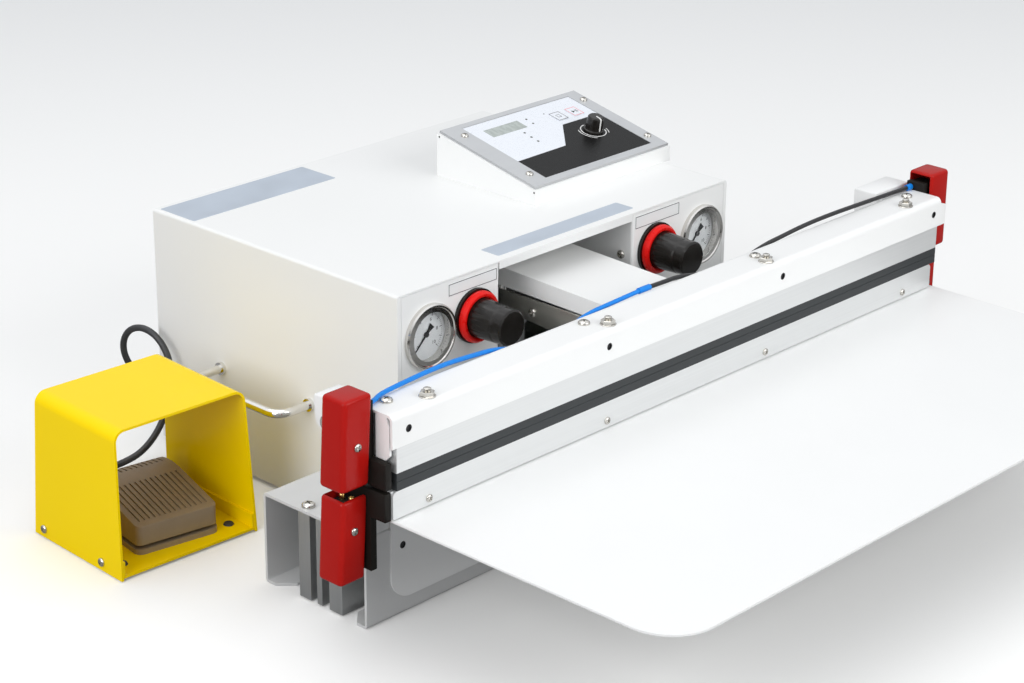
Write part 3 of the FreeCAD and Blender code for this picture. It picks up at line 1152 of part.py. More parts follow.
def foot_switch():
    """Foot switch: base with plinth, hollow ribbed pedal, hinge pin and cable relief."""
    w, deep, plinth = S.switch_half, S.switch_long, S.switch_plate
    wall = S.pedal_wall
    pedal_low = plinth + PEDAL_PLAY
    pin_y, pin_z = deep - 12, plinth + 9
    pin = 2.0
    bottom = prism("switch_plinth", "XY_Plane", [(-w, 0), (w, 0), (w, deep), (-w, deep)],
                   plinth, bends=[((0, 1, 2, 3), 7.0)])
    inner = w - wall - 2
    core = block("switch_core", (-inner, inner), (deep - 40, deep - 6), (plinth, plinth + 4))
    lug = block("switch_lug", (-inner + 4, inner - 4), (deep - 17, deep - 7), (plinth, pin_z + 4))
    pocket = block("switch_pocket", (-inner + 14, inner - 14), (deep - 41, deep - 6), (plinth, pin_z + 5))
    pin_hole = rod("switch_pin_hole", (-w - 1, pin_y, pin_z), pin + S.pin_gap, w * 2 + 2, "+x")
    finish("switch_base", on_switch(cut("switch_base_cut", fuse("switch_base_solid", [bottom, core, lug]),
                                        [pocket, pin_hole])))

    crown = S.pedal_top
    shell = prism("pedal_outer", "YZ_Plane", [
        (1, pedal_low), (deep - 1, pedal_low), (deep - 1, crown - 13), (deep - 12, crown - 2),
        (deep - 30, crown), (1, S.pedal_front)], (w - 1) * 2, (-w + 1, 0, 0),
        bends=[((3, 4), 8.0), ((5,), 3.0)])
    hollow = prism("pedal_inner", "YZ_Plane", [
        (1 + wall, pedal_low - 1), (deep - 1 - wall, pedal_low - 1), (deep - 1 - wall, crown - 15),
        (deep - 14, crown - 2 - wall), (deep - 30, crown - wall), (1 + wall, S.pedal_front - wall)],
        (w - 1 - wall) * 2, (-w + 1 + wall, 0, 0))
    grooves = []
    count = PEDAL_GROOVES
    rise = (crown - S.pedal_front) / (deep - 31)
    for k in range(count):
        x = S.groove_pitch * (k - (count - 1) / 2) - S.groove_wide / 2
        grooves.append(prism(f"pedal_groove_{k}", "YZ_Plane", [
            (8, S.pedal_front + rise * 7 - 1.1), (46, S.pedal_front + rise * 45 - 1.1),
            (46, crown + 2), (8, crown + 2)], S.groove_wide, (x, 0, 0)))
    pedal_pin_hole = rod("pedal_pin_hole", (-w - 1, pin_y, pin_z), pin + S.pin_gap, w * 2 + 2, "+x")
    outlet = block("pedal_outlet", (-6, 6), (deep - 6, deep + 1), (pedal_low - 1, plinth + 15))
    finish("switch_pedal", on_switch(cut("pedal_cut", shell,
                                         [hollow, group("pedal_grooves", grooves), pedal_pin_hole, outlet])))
    finish("pedal_pin", on_switch(rod("pedal_shaft", (-w + 1, pin_y, pin_z), pin, (w - 1) * 2, "+x")))
    relief = revolve("relief_solid", [
        (0, 0), (5.4, 0), (5.4, 5), (S.cable_radius + 0.9, 16), (0, 16)],
        (0, deep - 5, plinth + S.cable_radius + 2.6), "+y")
    finish("cable_relief", on_switch(relief))


PEDAL_PLAY = 3.0
PEDAL_GROOVES = 13

# Where the foot switch cable runs, from its relief up over the loop beside the housing to the coil
CABLE_OUT = [
    (-305.0, 318.8, 12.5), (-296.0, 332.0, 10.0), (-282.3, 340.3, 7.5), (-266.4, 341.5, 6.5),
    (-250.0, 335.5, 12.5), (-236.0, 330.5, 27.5), (-225.5, 329.0, 46.0), (-218.5, 331.0, 64.0),
    (-213.5, 335.5, 81.0), (-212.5, 342.0, 93.8), (-213.5, 352.8, 104.5), (-215.0, 367.5, 108.5),
    (-216.5, 382.2, 104.5), (-217.0, 393.0, 93.8), (-216.0, 397.0, 79.0), (-212.0, 392.5, 63.4),
    (-203.0, 383.5, 52.5), (-189.5, 379.5, 42.5), (-172.5, 380.0, 34.0), (-155.0, 384.0, 25.5),
    (-137.5, 390.5, 16.5), (-121.5, 400.5, 8.5), (-109.5, 414.0, 4.5), (-104.4, 431.1, 3.0)]
# The other end, from the coil's top turn up to the gland
CABLE_IN = [(-24.0, 394.0, 27.0), (-25.5, 410.0, 23.0), (-28.5, 425.0, 20.0), (-32.3, 438.8, 17.5)]
COIL_X, COIL_Y = -64.0, 424.0


def cable_tube(name, points, radius):
    """A round cable along straight runs joined by tangent arcs."""
    spots = [Vector(*p) for p in points]
    runs = [(b - a).Length for a, b in zip(spots, spots[1:])]
    edges, start, bends = [], spots[0], []
    for i in range(1, len(spots) - 1):
        into = (spots[i] - spots[i - 1]).normalize()
        out = (spots[i + 1] - spots[i]).normalize()
        turn = into.getAngle(out)
        reach = 0.45 * min(runs[i - 1], runs[i])
        bend = reach / math.tan(turn / 2)
        inward = (out - into).normalize()
        first, last = spots[i] - into * reach, spots[i] + out * reach
        middle = spots[i] + inward * (bend / math.cos(turn / 2) - bend)
        edges += [Part.LineSegment(start, first).toShape(), Part.Arc(first, middle, last).toShape()]
        start = last
        bends.append(bend)
    edges.append(Part.LineSegment(start, spots[-1]).toShape())
    path = Part.Wire(edges)
    ring = Part.Wire([Part.Circle(spots[0], spots[1] - spots[0], radius).toShape()])
    tube = path.makePipeShell([ring], True, True)
    thing = doc.addObject("Part::Feature", name)
    thing.Shape = tube
    section = math.pi * radius ** 2
    print(name, "radii", [round(b, 1) for b in bends], "runs", [round(r, 1) for r in runs],
          "length", round(path.Length, 1), "volume ratio", round(tube.Volume / section / path.Length, 4))
    return thing


def cable():
    """The foot switch cable: the run to the coil, the coil, and the run up to the gland."""
    radius = S.cable_radius.value
    turn = math.radians(S.switch_turn.value)
    reach = S.switch_long.value + 11
    start = (S.switch_x.value - reach * math.sin(turn), S.switch_y.value + reach * math.cos(turn),
             (S.guard_lift + S.guard_sheet + S.switch_plate + S.cable_radius).value + 2.6)
    gland = (GLAND_X, (rear - S.housing_sheet).value + 14, GLAND_Z)
    out = cable_tube("cable_out", [start] + CABLE_OUT, radius)
    back = cable_tube("cable_back", [gland] + CABLE_IN, radius)
    finish("pedal_cable", group("cable_pair", [out, back]))
    inner, outer = S.coil_mid - S.coil_half, S.coil_mid + S.coil_half
    finish("cable_coil", revolve("coil_solid", [
        (inner, 2), (inner + 2, 0), (outer - 2, 0), (outer, 2), (outer, S.coil_tall - 2),
        (outer - 2, S.coil_tall), (inner + 2, S.coil_tall), (inner, S.coil_tall - 2)],
        (COIL_X, COIL_Y, 0)))


housing()
gauges()
regulators()
control_unit()
upper_jaw()
leads()
lift()
lower_jaw()
base()
rear_fittings()
guard()
foot_switch()
cable()
doc.recompute()

faults = [thing.Name for thing in doc.Objects if "Invalid" in thing.State or "Error" in thing.State]
for node, thing in finished.items():
    if thing.Shape.isNull() or not thing.Shape.isValid() or not thing.Shape.Solids:
        faults.append(node)
if faults:
    raise RuntimeError("not sound: " + ", ".join(faults))
for node, thing in finished.items():
    thing.Shape.exportStep(f"parts/{node}.step")
print(len(finished), "nodes,", sum(len(t.Shape.Solids) for t in finished.values()), "solids")
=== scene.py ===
import math

import bmesh
import bpy
from mathutils import Matrix, Quaternion, Vector


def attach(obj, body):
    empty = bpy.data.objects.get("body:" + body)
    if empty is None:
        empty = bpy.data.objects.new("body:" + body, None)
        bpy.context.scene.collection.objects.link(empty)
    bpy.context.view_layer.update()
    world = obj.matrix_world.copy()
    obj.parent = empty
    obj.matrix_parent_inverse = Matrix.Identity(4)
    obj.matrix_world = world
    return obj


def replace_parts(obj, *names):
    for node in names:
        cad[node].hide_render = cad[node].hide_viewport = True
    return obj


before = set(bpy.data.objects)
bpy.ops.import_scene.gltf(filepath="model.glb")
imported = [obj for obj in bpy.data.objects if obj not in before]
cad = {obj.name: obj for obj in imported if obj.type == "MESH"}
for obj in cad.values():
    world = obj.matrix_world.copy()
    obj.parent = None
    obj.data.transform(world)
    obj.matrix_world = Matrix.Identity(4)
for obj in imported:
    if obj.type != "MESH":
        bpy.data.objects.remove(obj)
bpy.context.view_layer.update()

# The camera stands where the photograph was taken: well to the left of the sealer, a little above
# its housing, with a long lens.
def in_scene(name, data):
    """An object of some data, linked to the scene."""
    made = bpy.data.objects.new(name, data)
    bpy.context.scene.collection.objects.link(made)
    return made


turn, drop, tip = math.radians(46.681), math.radians(22.043), math.radians(0.451)
stand = (-1.47099, -1.24729, 0.91688)
look = Vector((math.sin(turn) * math.cos(drop), math.cos(turn) * math.cos(drop), -math.sin(drop)))
across = Vector((math.cos(turn), -math.sin(turn), 0))
upward = across.cross(look)
right_way = across * math.cos(tip) + upward * math.sin(tip)
up_way = upward * math.cos(tip) - across * math.sin(tip)
eye = in_scene("eye", bpy.data.cameras.new("eye"))
eye.data.lens = 89.99
eye.data.sensor_width = 36
eye.data.clip_start, eye.data.clip_end = 0.05, 60
eye.matrix_world = Matrix.Translation(stand) @ Matrix((right_way, up_way, -look)).transposed().to_4x4()
bpy.context.scene.camera = eye


# The foot switch cable: round black PVC lead, 5.8 mm thick. It leaves the switch's relief, makes a
# standing loop beside the housing, lies in a neat coil behind it, and rises to the gland.
class Value:
    """One output of a shader node, which Python's own signs can work on."""

    def __init__(self, finish, socket):
        self.finish, self.socket = finish, socket

    def __mul__(self, other):
        return self.finish.add("Math", {"operation": "MULTIPLY"}, {0: self, 1: other})

    __rmul__ = __mul__

    def between(self, low, high, first=0.0, last=1.0):
        """A smooth step from first to last, while this value goes from low to high."""
        return self.finish.add("MapRange", {"interpolation_type": "SMOOTHSTEP"}, {
            "Value": self, "From Min": low, "From Max": high, "To Min": first, "To Max": last})


class Finish:
    """A material: fixed values go on the shader's sockets, and patterns are added to it."""

    def __init__(self, name, **fixed):
        self.material = bpy.data.materials.new(name)
        self.material.use_nodes = True
        self.tree = self.material.node_tree
        self.shader = self.tree.nodes["Principled BSDF"]
        for key, value in fixed.items():
            self.shader.inputs[key.replace("_", " ")].default_value = value
        self.spot = self.add("TexCoord", {}, {}, "Object")

    def add(self, kind, settings, sockets, out=0):
        """A node: its settings are made first, then the values or links of its sockets."""
        made = self.tree.nodes.new("ShaderNode" + kind)
        for key, value in settings.items():
            setattr(made, key, value)
        for key, value in sockets.items():
            if isinstance(value, Value):
                self.tree.links.new(value.socket, made.inputs[key])
            else:
                made.inputs[key].default_value = value
        return Value(self, made.outputs[out])

    def cloud(self, scale, detail, stretch=None):
        """Noise on the piece's own coordinates, in metres; stretch draws it out along an axis."""
        spot = self.spot
        if stretch:
            spot = self.add("Mapping", {}, {"Vector": spot, "Scale": stretch})
        return self.add("TexNoise", {}, {"Vector": spot, "Scale": scale, "Detail": detail})

    def blend(self, share, first, second):
        """A mix of two, each of them a plain colour or a value."""
        def colour(value):
            return value if isinstance(value, Value) else (*value, 1.0)
        return self.add("Mix", {"data_type": "RGBA"}, {0: share, 6: colour(first), 7: colour(second)}, 2)

    def set(self, **links):
        """Link values to the shader's sockets."""
        for key, value in links.items():
            self.tree.links.new(value.socket, self.shader.inputs[key.replace("_", " ")])

    def grain(self, height, depth, strength=1.0):
        """Bump from a height between 0 and 1, with its depth in metres."""
        self.set(Normal=self.add("Bump", {}, {"Height": height, "Distance": depth, "Strength": strength}))

    def onto(self, *names):
        """Give the material to pieces of the CAD."""
        for name in names:
            materials = cad[name].data.materials
            materials.clear()
            materials.append(self.material)


def metres(*millimetres):
    """A spot or a size in millimetres, in metres."""
    return Vector([value / 1000 for value in millimetres])


def round_line(name, spots, radius, smooth, sides):
    """A round cord or lead on a smooth line near its spots, in millimetres."""
    line = bpy.data.curves.new(name, "CURVE")
    line.dimensions = "3D"
    run = line.splines.new("NURBS")
    run.points.add(len(spots) - 1)
    for point, spot in zip(run.points, spots):
        point.co = (*metres(*spot), 1)
    run.order_u = 3
    run.use_endpoint_u = True
    line.resolution_u = smooth
    line.bevel_depth, line.bevel_resolution, line.use_fill_caps = radius / 1000, sides, True
    return in_scene(name, line)


cable_skin = Finish("black_pvc")
scuff = cable_skin.cloud(260, 4)
cable_skin.set(Base_Color=cable_skin.blend(scuff, (0.018, 0.018, 0.020), (0.045, 0.045, 0.048)),
               Roughness=scuff.between(0.3, 0.7, 0.36, 0.52))
cable_skin.grain(cable_skin.cloud(900, 2), 0.0001, 0.5)

route = [
    (-307.7, 302.5, 14.0), (-305.0, 318.8, 12.5), (-296.0, 332.0, 10.0), (-282.3, 340.3, 7.5),
    (-266.4, 341.5, 6.5), (-250.0, 335.5, 12.5), (-236.0, 330.5, 27.5), (-225.5, 329.0, 46.0),
    (-218.5, 331.0, 64.0), (-213.5, 335.5, 81.0), (-212.5, 342.0, 93.8), (-213.5, 352.8, 104.5),
    (-215.0, 367.5, 108.5), (-216.5, 382.2, 104.5), (-217.0, 393.0, 93.8), (-216.0, 397.0, 79.0),
    (-212.0, 392.5, 63.4), (-203.0, 383.5, 52.5), (-189.5, 379.5, 42.5), (-172.5, 380.0, 34.0),
    (-155.0, 384.0, 25.5), (-137.5, 390.5, 16.5), (-121.5, 400.5, 8.5), (-109.5, 414.0, 4.5)]
coil_x, coil_y, lane, thick, ground = -64.0, 424.0, 35.0, 5.9, 3.0
laps, lap_steps, first_bearing = 6.403, 16, 170
outset = 1.016  # the line cuts its corners, so the coil's spots lie a little outside their lane
count = round(laps * lap_steps)
for step in range(count + 1):
    lap = laps * step / count
    angle = math.radians(first_bearing) - 2 * math.pi * lap
    rolled = math.sqrt(1 - (1 - lap % 1) ** 2)
    if lap < 2:
        reach, rise = lane + thick * (1 - lap), 0
    elif lap < 3:
        reach, rise = lane - thick, rolled
    elif lap < 5:
        reach, rise = lane + thick * (lap - 4), 1
    elif lap < 6:
        reach, rise = lane + thick, 1 + rolled
    else:
        reach, rise = lane + thick * max(0, 1 - (lap - 6) / 0.4), 2 + min(1, (lap - 6) * 4) * 0.5
    route.append((coil_x + reach * outset * math.cos(angle), coil_y + reach * outset * math.sin(angle),
                  ground + thick * rise))
route += [(-28.5, 425.0, 20.0), (-25.5, 410.0, 23.0), (-24.0, 394.0, 27.0), (-24.0, 379.3, 28.0)]
cable = round_line("foot_switch_cable", route, 2.9, 6, 5)
cable.data.materials.append(cable_skin.material)
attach(cable, "root")
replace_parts(cable, "pedal_cable", "cable_coil")
metres(*route[0])
cable_skin.onto("cable_relief")

# The floor: a sheet of pale studio paper, which isn't part of the sealer. The camera sees it brighter
# than the light that it throws back, and painted shade darkens its colour a little with the distance.
floor_paper = Finish("pale_paper", Roughness=0.9, Specular_IOR_Level=0.1,
                     Emission_Color=(1.0, 1.0, 0.99, 1))
away = (0.727, 0.686, 0.0)
depth = floor_paper.add("VectorMath", {"operation": "DOT_PRODUCT"}, {0: floor_paper.spot, 1: away}, "Value")
# Painted shade: the paper's colour goes darker further away along the view.
paper_with_painted_shade = floor_paper.blend(depth.between(0.2, 2.6), (0.90, 0.90, 0.892), (0.75, 0.76, 0.765))
seen = floor_paper.add("LightPath", {}, {}, "Is Camera Ray")
floor_paper.set(Base_Color=floor_paper.blend(seen, (0.34, 0.34, 0.34), paper_with_painted_shade), Emission_Strength=seen * 0.10)
half_width, under_feet = 9, 0.0003
sweep = bmesh.new()
bmesh.ops.create_grid(sweep, x_segments=8, y_segments=8, size=half_width)
floor_mesh = bpy.data.meshes.new("floor")
sweep.to_mesh(floor_mesh)
sweep.free()
floor_mesh.materials.append(floor_paper.material)
floor = in_scene("floor", floor_mesh)
floor.location = (0, 0, -under_feet)

# Soft studio light: a bright white room, seen darker near the ground by what shines, and three broad
# lamps, above, from the left and from the front.
room = bpy.data.worlds.new("room")
room.use_nodes = True
glow = room.node_tree.nodes["Background"].inputs
glow["Color"].default_value = (0.95, 0.97, 1.0, 1)
bearing, part, ray, swell, pick = (room.node_tree.nodes.new("ShaderNode" + kind) for kind in (
    "TexCoord", "SeparateXYZ", "LightPath", "MapRange", "Mix"))
for label, amount in (("From Min", -0.1), ("From Max", 0.75), ("To Min", 0.12), ("To Max", 1.25)):
    swell.inputs[label].default_value = amount
pick.inputs["A"].default_value = 0.6
for out, into in ((bearing.outputs["Generated"], part.inputs[0]), (part.outputs["Z"], swell.inputs["Value"]),
                  (ray.outputs["Is Glossy Ray"], pick.inputs["Factor"]),
                  (swell.outputs["Result"], pick.inputs["B"]),
                  (pick.outputs["Result"], glow["Strength"])):
    room.node_tree.links.new(out, into)
bpy.context.scene.world = room
bpy.context.scene.view_settings.view_transform = "Standard"


def lamp(name, place, aim, size, watts, colour):
    """A broad flat lamp at its place, turned to its aim."""
    light = bpy.data.lights.new(name, "AREA")
    light.shape, light.size, light.size_y = "RECTANGLE", size[0], size[1]
    light.energy, light.color = watts, colour
    holder = in_scene(name, light)
    holder.location = place
    holder.rotation_euler = (Vector(aim) - Vector(place)).to_track_quat("-Z", "Y").to_euler()


lamp("top_lamp", (-0.3, 0.5, 2.6), (0, 0.2, 0), (2.6, 1.8), 14, (1.0, 1.0, 1.0))
lamp("left_lamp", (-2.6, -0.2, 1.3), (0, 0.2, 0.1), (1.8, 1.6), 33, (1.0, 1.0, 1.0))
lamp("front_lamp", (0.5, -2.7, 1.5), (0, 0.1, 0.1), (2.6, 1.6), 46, (1.0, 1.0, 0.99))

# The housing: a folded steel cover with its two front panels, powder coated white. The rear panel, the
# control box on top and the lift arm have the same coat.
white_coat = Finish("white_powder_coat")
orange_peel = white_coat.cloud(1300, 2)
patch = white_coat.cloud(7, 2)
white_coat.set(Base_Color=white_coat.blend(patch, (0.85, 0.855, 0.845), (0.88, 0.885, 0.88)),
               Roughness=orange_peel.between(0.3, 0.7, 0.36, 0.46))
white_coat.grain(orange_peel, 0.00006, 0.35)
white_coat.onto("housing_cover", "front_panels", "rear_panel", "control_box", "lift_arm")

# The floor pan and the bracket for the arm's shaft: zinc plated sheet steel. Both are inside the cover,
# so little of them shows.
pan_steel = Finish("zinc_plated_sheet", Metallic=0.85)
spangle = pan_steel.cloud(60, 4)
pan_steel.set(Base_Color=pan_steel.blend(spangle, (0.55, 0.57, 0.54), (0.66, 0.68, 0.65)),
              Roughness=spangle.between(0.3, 0.7, 0.32, 0.48))
pan_steel.grain(pan_steel.cloud(1500, 2), 0.00005, 0.4)
pan_steel.onto("floor_pan", "pivot_bracket")

# The feet under the housing and under the foot guard: plain black rubber discs, dull and a little
# dusty.
foot_rubber = Finish("black_rubber")
dust = foot_rubber.cloud(300, 4)
foot_rubber.set(Base_Color=foot_rubber.blend(dust, (0.018, 0.018, 0.019), (0.05, 0.05, 0.05)),
                Roughness=dust.between(0.3, 0.7, 0.6, 0.8))
foot_rubber.grain(dust, 0.0001, 0.6)
foot_rubber.onto("housing_feet", "guard_feet")


# The housing's screws: nickel plated, with cross heads. Two hold the panels' returns beside the window,
# six the rear panel and four the grey plate on the control box.
def piece(name, mesh, finish, body, bend=35):
    """Put a finished mesh into the scene, smooth but for its sharp edges, on its body."""
    made = in_scene(name, mesh)
    if finish:
        mesh.materials.clear()
        mesh.materials.append(finish.material)
    mesh.polygons.foreach_set("use_smooth", [True] * len(mesh.polygons))
    mesh.set_sharp_from_angle(angle=math.radians(bend))
    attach(made, body)
    return made


def formed(made, place=None):
    """Close a hand-made form: its faces outwards, at its place, as a mesh."""
    bmesh.ops.recalc_face_normals(made, faces=made.faces)
    if place:
        bmesh.ops.transform(made, matrix=place, verts=made.verts)
    mesh = bpy.data.meshes.new("form")
    made.to_mesh(mesh)
    made.free()
    return mesh


def lathe(profile, steps=20, place=None):
    """A form turned about Z, from pairs of radius and height that start and end on the axis."""
    made = bmesh.new()
    rings = []
    for radius, height in profile:
        around = steps if radius else 1
        rings.append([made.verts.new((radius * math.cos(2 * math.pi * k / around),
                                      radius * math.sin(2 * math.pi * k / around), height))
                      for k in range(around)])
    for low, high in zip(rings, rings[1:]):
        for k in range(steps):
            loop = [low[k % len(low)], low[(k + 1) % len(low)],
                    high[(k + 1) % len(high)], high[k % len(high)]]
            made.faces.new(list(dict.fromkeys(loop)))
    return formed(made, place)


def slab(edge, low, high, place=None):
    """A flat form inside an edge of points, between two heights."""
    made = bmesh.new()
    under = [made.verts.new((x, y, low)) for x, y in edge]
    over = [made.verts.new((x, y, high)) for x, y in edge]
    made.faces.new(under[::-1])
    made.faces.new(over)
    for k, start in enumerate(under):
        after = (k + 1) % len(edge)
        made.faces.new((start, under[after], over[after], over[k]))
    return formed(made, place)


def joined(*meshes):
    """Several meshes as one."""
    made = bmesh.new()
    for mesh in meshes:
        made.from_mesh(mesh)
        bpy.data.meshes.remove(mesh)
    mesh = bpy.data.meshes.new("joined")
    made.to_mesh(mesh)
    made.free()
    return mesh


def plain_mesh(holder):
    """What an object shows, as a plain mesh; the object goes."""
    ready = bpy.context.evaluated_depsgraph_get()
    result = bpy.data.meshes.new_from_object(holder.evaluated_get(ready))
    bpy.data.objects.remove(holder)
    return result


def baked(mesh, modifiers):
    """A mesh with modifiers worked into it."""
    holder = in_scene("holder", mesh)
    for kind, settings in modifiers:
        modifier = holder.modifiers.new(kind, kind)
        for key, value in settings.items():
            if kind == "NODES" and key != "node_group":
                modifier[key] = value
            else:
                setattr(modifier, key, value)
    return plain_mesh(holder)


# The tree that sets one shape at many places. Each place has its own turn and size.
set_out = bpy.data.node_groups.new("set_out", "GeometryNodeTree")
for label, kind in (("Places", "NodeSocketGeometry"), ("Shape", "NodeSocketObject"),
                    ("Finish", "NodeSocketMaterial")):
    set_out.interface.new_socket(name=label, in_out="INPUT", socket_type=kind)
set_out.interface.new_socket(name="Pieces", in_out="OUTPUT", socket_type="NodeSocketGeometry")
knobs = {item.name: item.identifier for item in set_out.interface.items_tree if item.in_out == "INPUT"}
given, made_up, shape, copies, turned, real, coat = (set_out.nodes.new(kind) for kind in (
    "NodeGroupInput", "NodeGroupOutput", "GeometryNodeObjectInfo", "GeometryNodeInstanceOnPoints",
    "FunctionNodeEulerToRotation", "GeometryNodeRealizeInstances", "GeometryNodeSetMaterial"))
reads = {}
for label in ("turn", "size"):
    reads[label] = set_out.nodes.new("GeometryNodeInputNamedAttribute")
    reads[label].data_type = "FLOAT_VECTOR"
    reads[label].inputs["Name"].default_value = label
shape.inputs["As Instance"].default_value = True
for out, into in (
        (given.outputs["Places"], copies.inputs["Points"]),
        (given.outputs["Shape"], shape.inputs["Object"]),
        (shape.outputs["Geometry"], copies.inputs["Instance"]),
        (reads["turn"].outputs["Attribute"], turned.inputs["Euler"]),
        (turned.outputs["Rotation"], copies.inputs["Rotation"]),
        (reads["size"].outputs["Attribute"], copies.inputs["Scale"]),
        (copies.outputs["Instances"], real.inputs["Geometry"]),
        (real.outputs["Geometry"], coat.inputs["Geometry"]),
        (given.outputs["Finish"], coat.inputs["Material"]),
        (coat.outputs["Geometry"], made_up.inputs["Pieces"])):
    set_out.links.new(out, into)


def set_places(name, shape, places, finish, body):
    """Set a shape at its places; each is a spot in millimetres, a direction, a spin and a size."""
    dots = bpy.data.meshes.new(name)
    dots.from_pydata([metres(*spot) for spot, _, _, _ in places], [], [])
    turns = dots.attributes.new("turn", "FLOAT_VECTOR", "POINT")
    sizes = dots.attributes.new("size", "FLOAT_VECTOR", "POINT")
    for k, (_, aim, spin, size) in enumerate(places):
        turns.data[k].vector = (Vector(aim).to_track_quat("Z", "Y") @ Quaternion((0, 0, 1), spin)).to_euler()
        sizes.data[k].vector = metres(*(size if isinstance(size, tuple) else (size, size, size)))
    model = in_scene(name + "_model", shape)
    mesh = baked(dots, [("NODES", {"node_group": set_out, knobs["Shape"]: model,
                                   knobs["Finish"]: finish.material})])
    bpy.data.objects.remove(model)
    return piece(name, mesh, None, body)


slot_reach, slot_half = 0.55, 0.11
corner = [(slot_reach, -slot_half), (slot_reach, slot_half), (slot_half, slot_half)]
plus = []
for quarter in range(4):
    plus += corner
    corner = [(-y, x) for x, y in corner]
recess = in_scene("recess", slab(plus, 0.22, 1.0))
dome = [(0, 0), (1, 0), (1, 0.28), (0.95, 0.38), (0.82, 0.5), (0.6, 0.6), (0.3, 0.65), (0, 0.66)]
cross_head = baked(lathe(dome, 24), [("BOOLEAN", {"object": recess, "operation": "DIFFERENCE"})])
bpy.data.objects.remove(recess)

bright_screw = Finish("nickel_screw", Metallic=1.0)
tarnish = bright_screw.cloud(500, 3)
bright_screw.set(Base_Color=bright_screw.blend(tarnish, (0.50, 0.48, 0.44), (0.68, 0.66, 0.62)),
                 Roughness=tarnish.between(0.3, 0.7, 0.12, 0.22))
bright_screw.grain(tarnish, 0.00003, 0.3)

to_metres = Matrix.Scale(0.001, 4)
panel_corner, panel_tilt = (31.0, 143.6, 225.0), math.radians(12.3)
on_panel = to_metres @ Matrix.Translation(panel_corner) @ Matrix.Rotation(panel_tilt, 4, "X")


def panel_spot(x, slope, rise):
    """A spot on the sloped panel, from its lower left corner, back in the sealer's millimetres."""
    return tuple(on_panel @ Vector((x, slope, rise)) * 1000)


panel_up = (0, -math.sin(panel_tilt), math.cos(panel_tilt))
heads = [((-86.5, 84.6, 172.0), (1, 0, 0), 0.4, 3.8), ((75.5, 84.6, 172.0), (-1, 0, 0), 0.9, 3.8)]
heads += [((194.0 * side, 366.8, level), (0, 1, 0), 0.5 + level, 3.5)
          for side in (-1, 1) for level in (30.0, 105.0, 180.0)]
heads += [(panel_spot(x, slope, 2.5), panel_up, x + slope, 3.4)
          for x, slope in ((14.2, 21.0), (168.0, 21.0), (14.2, 99.95), (168.0, 99.95))]
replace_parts(set_places("housing_screws", cross_head, heads, bright_screw, "root"),
            "panel_screws")


# Plain strips and plates on the housing: silver film on its top, and two plates with a thin black
# border above the regulators.
def rounded(x0, y0, x1, y1, radius, steps=4):
    """The edge of a rectangle with round corners."""
    edge = []
    for x, y, start in ((x1 - radius, y0 + radius, 270), (x1 - radius, y1 - radius, 0),
                        (x0 + radius, y1 - radius, 90), (x0 + radius, y0 + radius, 180)):
        for k in range(steps + 1):
            angle = math.radians(start + 90 * k / steps)
            edge.append((x + radius * math.cos(angle), y + radius * math.sin(angle)))
    return edge


def frame_line(x0, y0, x1, y1, wide, low, high, place):
    """A thin line round a rectangle."""
    sides = ((x0, y0, x1, y0 + wide), (x0, y1 - wide, x1, y1), (x0, y0 + wide, x0 + wide, y1 - wide),
             (x1 - wide, y0 + wide, x1, y1 - wide))
    return joined(*[slab([(a, b), (c, b), (c, d), (a, d)], low, high, place) for a, b, c, d in sides])


silver_film = Finish("silver_film", Metallic=0.35)
sheen = silver_film.cloud(35, 3)
silver_film.set(Base_Color=silver_film.blend(sheen, (0.46, 0.52, 0.60), (0.54, 0.60, 0.68)),
                Roughness=sheen.between(0.3, 0.7, 0.32, 0.46))
plate_film = Finish("plate_film", Roughness=0.35)
plate_film.set(Base_Color=plate_film.blend(plate_film.cloud(60, 3), (0.80, 0.82, 0.82), (0.85, 0.86, 0.86)))
# Black for print and small marks; in the holes and wells further on, the same black is painted shade.
ink_and_hole_shade = Finish("black_ink_and_hole_shade", Roughness=0.4)
ink_and_hole_shade.set(Base_Color=ink_and_hole_shade.blend(ink_and_hole_shade.cloud(900, 2), (0.012, 0.012, 0.013), (0.03, 0.03, 0.032)))
cover_top, panel_front = 211.6, 72.6
on_top = to_metres @ Matrix.Translation((0, 0, cover_top))
stood_up = Matrix.Rotation(math.radians(90), 4, "X")
on_front = to_metres @ Matrix.Translation((0, panel_front, 0)) @ stood_up
piece("top_strips", joined(slab(rounded(-79, 81, 86, 101, 1.5), 0, 0.15, on_top),
                           slab(rounded(-196, 318, -36, 362, 1.5), 0, 0.15, on_top)),
      silver_film, "root")
piece("front_plates", joined(slab(rounded(-144.5, 196.4, -89.5, 207.0, 0.5), 0, 0.25, on_front),
                             slab(rounded(78.5, 196.0, 136.0, 207.4, 0.5), 0, 0.25, on_front)),
      plate_film, "root")
piece("plate_borders", joined(frame_line(-144.0, 196.9, -90.0, 206.5, 0.5, 0.25, 0.32, on_front),
                              frame_line(79.0, 196.5, 135.5, 206.9, 0.5, 0.25, 0.32, on_front)),
      ink_and_hole_shade, "root")

